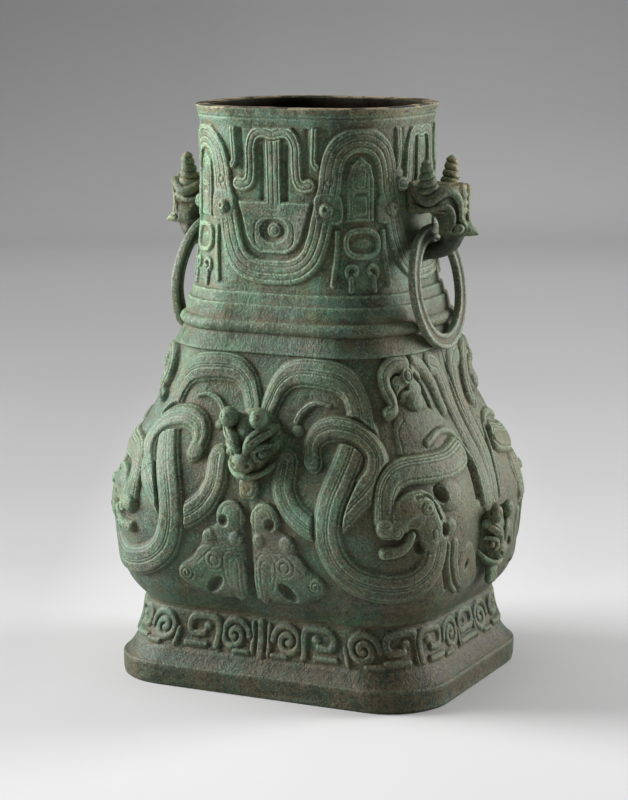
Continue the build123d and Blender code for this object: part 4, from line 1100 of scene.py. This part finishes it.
# Masks: name, height, turn about Z, size, tilt. Those on the ends are flatter and hold more soil.
MASKS = (("front", 231.0, 180.0, 1.0, 0.0), ("back", 231.0, 0.0, 1.0, 0.0),
         ("right", 139.0, -90.0, 0.9, -4.0),
         ("left", 139.0, 90.0, 0.9, -4.0))
verts, quads = sculpt_mask()
root = ease(verts[:, 1], 9, 0)
for name, z, turn, size, tilt in MASKS:
    half = half_at(BELLY_LEVELS, z)
    if name in ("front", "back"):
        away, deep, tone, earth = plan_sizes(z, half)[0] - 3.0, size, 0.30, 0.18 + 0.6 * root
    else:
        away, deep, tone, earth = half - 3.0, 0.55, 0.18, 0.55 + 0.4 * root
    x, y, up = leaned(verts * np.array([0.88 * size, deep, size]), tilt).T
    a, y = math.radians(turn), y + away
    place = np.stack([x * math.cos(a) - y * math.sin(a), x * math.sin(a) + y * math.cos(a), up + z], 1)
    soil = {"shelter": 1.3, "tone": np.full(len(place), tone), "earth": earth}
    obj = quads_to_mesh("belly_mask_" + name, place, quads, (), soil, 34)
    finish_piece(obj, body_paint, "vessel", "patinated_bronze_body")

for name in ("floor_spacers", "handle_core_right", "handle_core_left"):
    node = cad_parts[name]
    node.data.materials.clear()
    node.data.materials.append(spacer_paint if name == "floor_spacers" else clay_paint)

# Camera at the photograph's angle, image taken as 628 x 800.
IMAGE_HEIGHT = 800.0
AZ, EL, ROLL = math.radians(25.97), math.radians(9.71), math.radians(-0.25)
DISTANCE, TARGET_Z, FOCAL_PX = 2290.0, 270.0, 2504.0
TARGET_X_OFF, TARGET_Y_OFF = 4.9, 23.9
back = np.array([math.sin(AZ) * math.cos(EL), -math.cos(AZ) * math.cos(EL), math.sin(EL)])
side = np.cross(-back, [0, 0, 1])
side /= np.linalg.norm(side)
up = np.cross(side, -back)
across = side * math.cos(ROLL) + up * math.sin(ROLL)
upright = up * math.cos(ROLL) - side * math.sin(ROLL)
camera = bpy.data.cameras.new("camera")
camera.sensor_width = 36.0
camera.lens = FOCAL_PX / IMAGE_HEIGHT * camera.sensor_width
camera.shift_x = -TARGET_X_OFF / IMAGE_HEIGHT
camera.shift_y = -TARGET_Y_OFF / IMAGE_HEIGHT
camera.clip_end = 100.0
eye = bpy.data.objects.new("camera", camera)
matrix = np.eye(4)
matrix[:3, 0], matrix[:3, 1], matrix[:3, 2] = across, upright, back
matrix[:3, 3] = (np.array([0, 0, TARGET_Z]) + back * DISTANCE) * MM
eye.matrix_world = Matrix(matrix.tolist())
bpy.context.scene.collection.objects.link(eye)
bpy.context.scene.camera = eye

# Floor that sweeps up into a backdrop behind the vessel.
FORWARD = np.array([-math.sin(AZ), math.cos(AZ), 0])
ACROSS = np.array([math.cos(AZ), math.sin(AZ), 0])
FLOOR_FROM, FLOOR_TO, BEND, PAPER_TOP = -3.0, 3.4, 0.9, 3.4
profile = [(d, 0.0) for d in np.linspace(FLOOR_FROM, FLOOR_TO, 33)]
profile += [(FLOOR_TO + BEND * math.sin(a), BEND - BEND * math.cos(a))
            for a in np.linspace(0.1, math.pi / 2, 14)]
profile += [(FLOOR_TO + BEND, z) for z in np.linspace(1.1, PAPER_TOP, 8)]
columns = 4.5 * np.linspace(-1, 1, 41)**3
# The paper's greys along its run in metres, painted light and shade: palest in the bend, where the least
# light falls, and darker on the floor at the left, under the key lamp.
PAPER_REACH = (-0.4, 0.04, 0.4, 0.85, 1.54, 2.17, 2.8, 3.3, 3.75, 4.1, 4.4)
PAPER_LEFT = (0.47, 0.38, 0.30, 0.29, 0.375, 0.546, 0.784, 0.90, 0.70, 0.555, 0.45)
PAPER_MIDDLE = (0.51, 0.495, 0.483, 0.472, 0.455, 0.56, 0.75, 0.88, 0.76, 0.59, 0.485)
PAPER_RIGHT = (0.51, 0.50, 0.40, 0.375, 0.453, 0.642, 0.86, 0.92, 0.82, 0.625, 0.52)
points, shades = [], []
for i, (d, z) in enumerate(profile):
    step = 0 if i == 0 else math.hypot(d - profile[i - 1][0], z - profile[i - 1][1])
    reach = profile[0][0] if i == 0 else reach + step
    middle = np.interp(reach, PAPER_REACH, PAPER_MIDDLE)
    left = np.interp(reach, PAPER_REACH, PAPER_LEFT)
    right = np.interp(reach, PAPER_REACH, PAPER_RIGHT)
    for w in columns:
        points.append((FORWARD * d + ACROSS * w + np.array([0, 0, z])).tolist())
        to_left, to_right = ease(-w, 0.05, 0.35), ease(w, 0.05, 0.35)
        shades.append(middle + (left - middle) * to_left + (right - middle) * to_right)
wide = len(columns)
faces = [(i * wide + j, i * wide + j + 1, (i + 1) * wide + j + 1, (i + 1) * wide + j)
         for i in range(len(profile) - 1) for j in range(wide - 1)]
mesh = bpy.data.meshes.new("studio_sweep")
mesh.from_pydata(points, [], faces)
mesh.polygons.foreach_set("use_smooth", [True] * len(faces))
mesh.attributes.new("shade", "FLOAT", "POINT").data.foreach_set("value", shades)
sweep = bpy.data.objects.new("studio_sweep", mesh)
bpy.context.scene.collection.objects.link(sweep)
paper = Paint("studio_paper")
paper.put("Base Color", paper.mark("shade"))
paper.put("Roughness", 0.9)
paper.shader.inputs["Specular IOR Level"].default_value = 0.0
mesh.materials.append(paper.m)


def softbox(name, place, aim, width, height, power):
    lamp = bpy.data.lights.new(name, "AREA")
    lamp.shape = "RECTANGLE"
    lamp.size, lamp.size_y, lamp.energy = width, height, power
    obj = bpy.data.objects.new(name, lamp)
    z = np.array(place, float) - np.array(aim, float)
    z /= np.linalg.norm(z)
    x = np.cross([0, 0, 1.0], z)
    x /= np.linalg.norm(x)
    m = np.eye(4)
    m[:3, 0], m[:3, 1], m[:3, 2], m[:3, 3] = x, np.cross(z, x), z, place
    obj.matrix_world = Matrix(m.tolist())
    bpy.context.scene.collection.objects.link(obj)


# Lamps: name, metres across, behind and above the vessel's foot, width, height, watts.
LAMPS = (("key_left", -1.9, 0.25, 0.9, 1.1, 1.7, 120), ("side_right", 2.0, 0.45, 0.8, 1.0, 1.5, 67),
         ("top", 0.0, 0.2, 2.4, 1.4, 1.4, 14))
AIM = np.array([0, 0, 0.27])
for name, over, behind, above, width, height, watts in LAMPS:
    softbox(name, over * ACROSS + behind * FORWARD + [0, 0, above], AIM, width, height, watts)
WORLD_GREY, WORLD_STRENGTH = 0.9, 0.22
world = bpy.data.worlds.new("studio")
bpy.context.scene.world = world
world.use_nodes = True
world.node_tree.nodes["Background"].inputs["Color"].default_value = (WORLD_GREY, WORLD_GREY, WORLD_GREY, 1)
world.node_tree.nodes["Background"].inputs["Strength"].default_value = WORLD_STRENGTH

bpy.context.scene.view_settings.view_transform = "Standard"
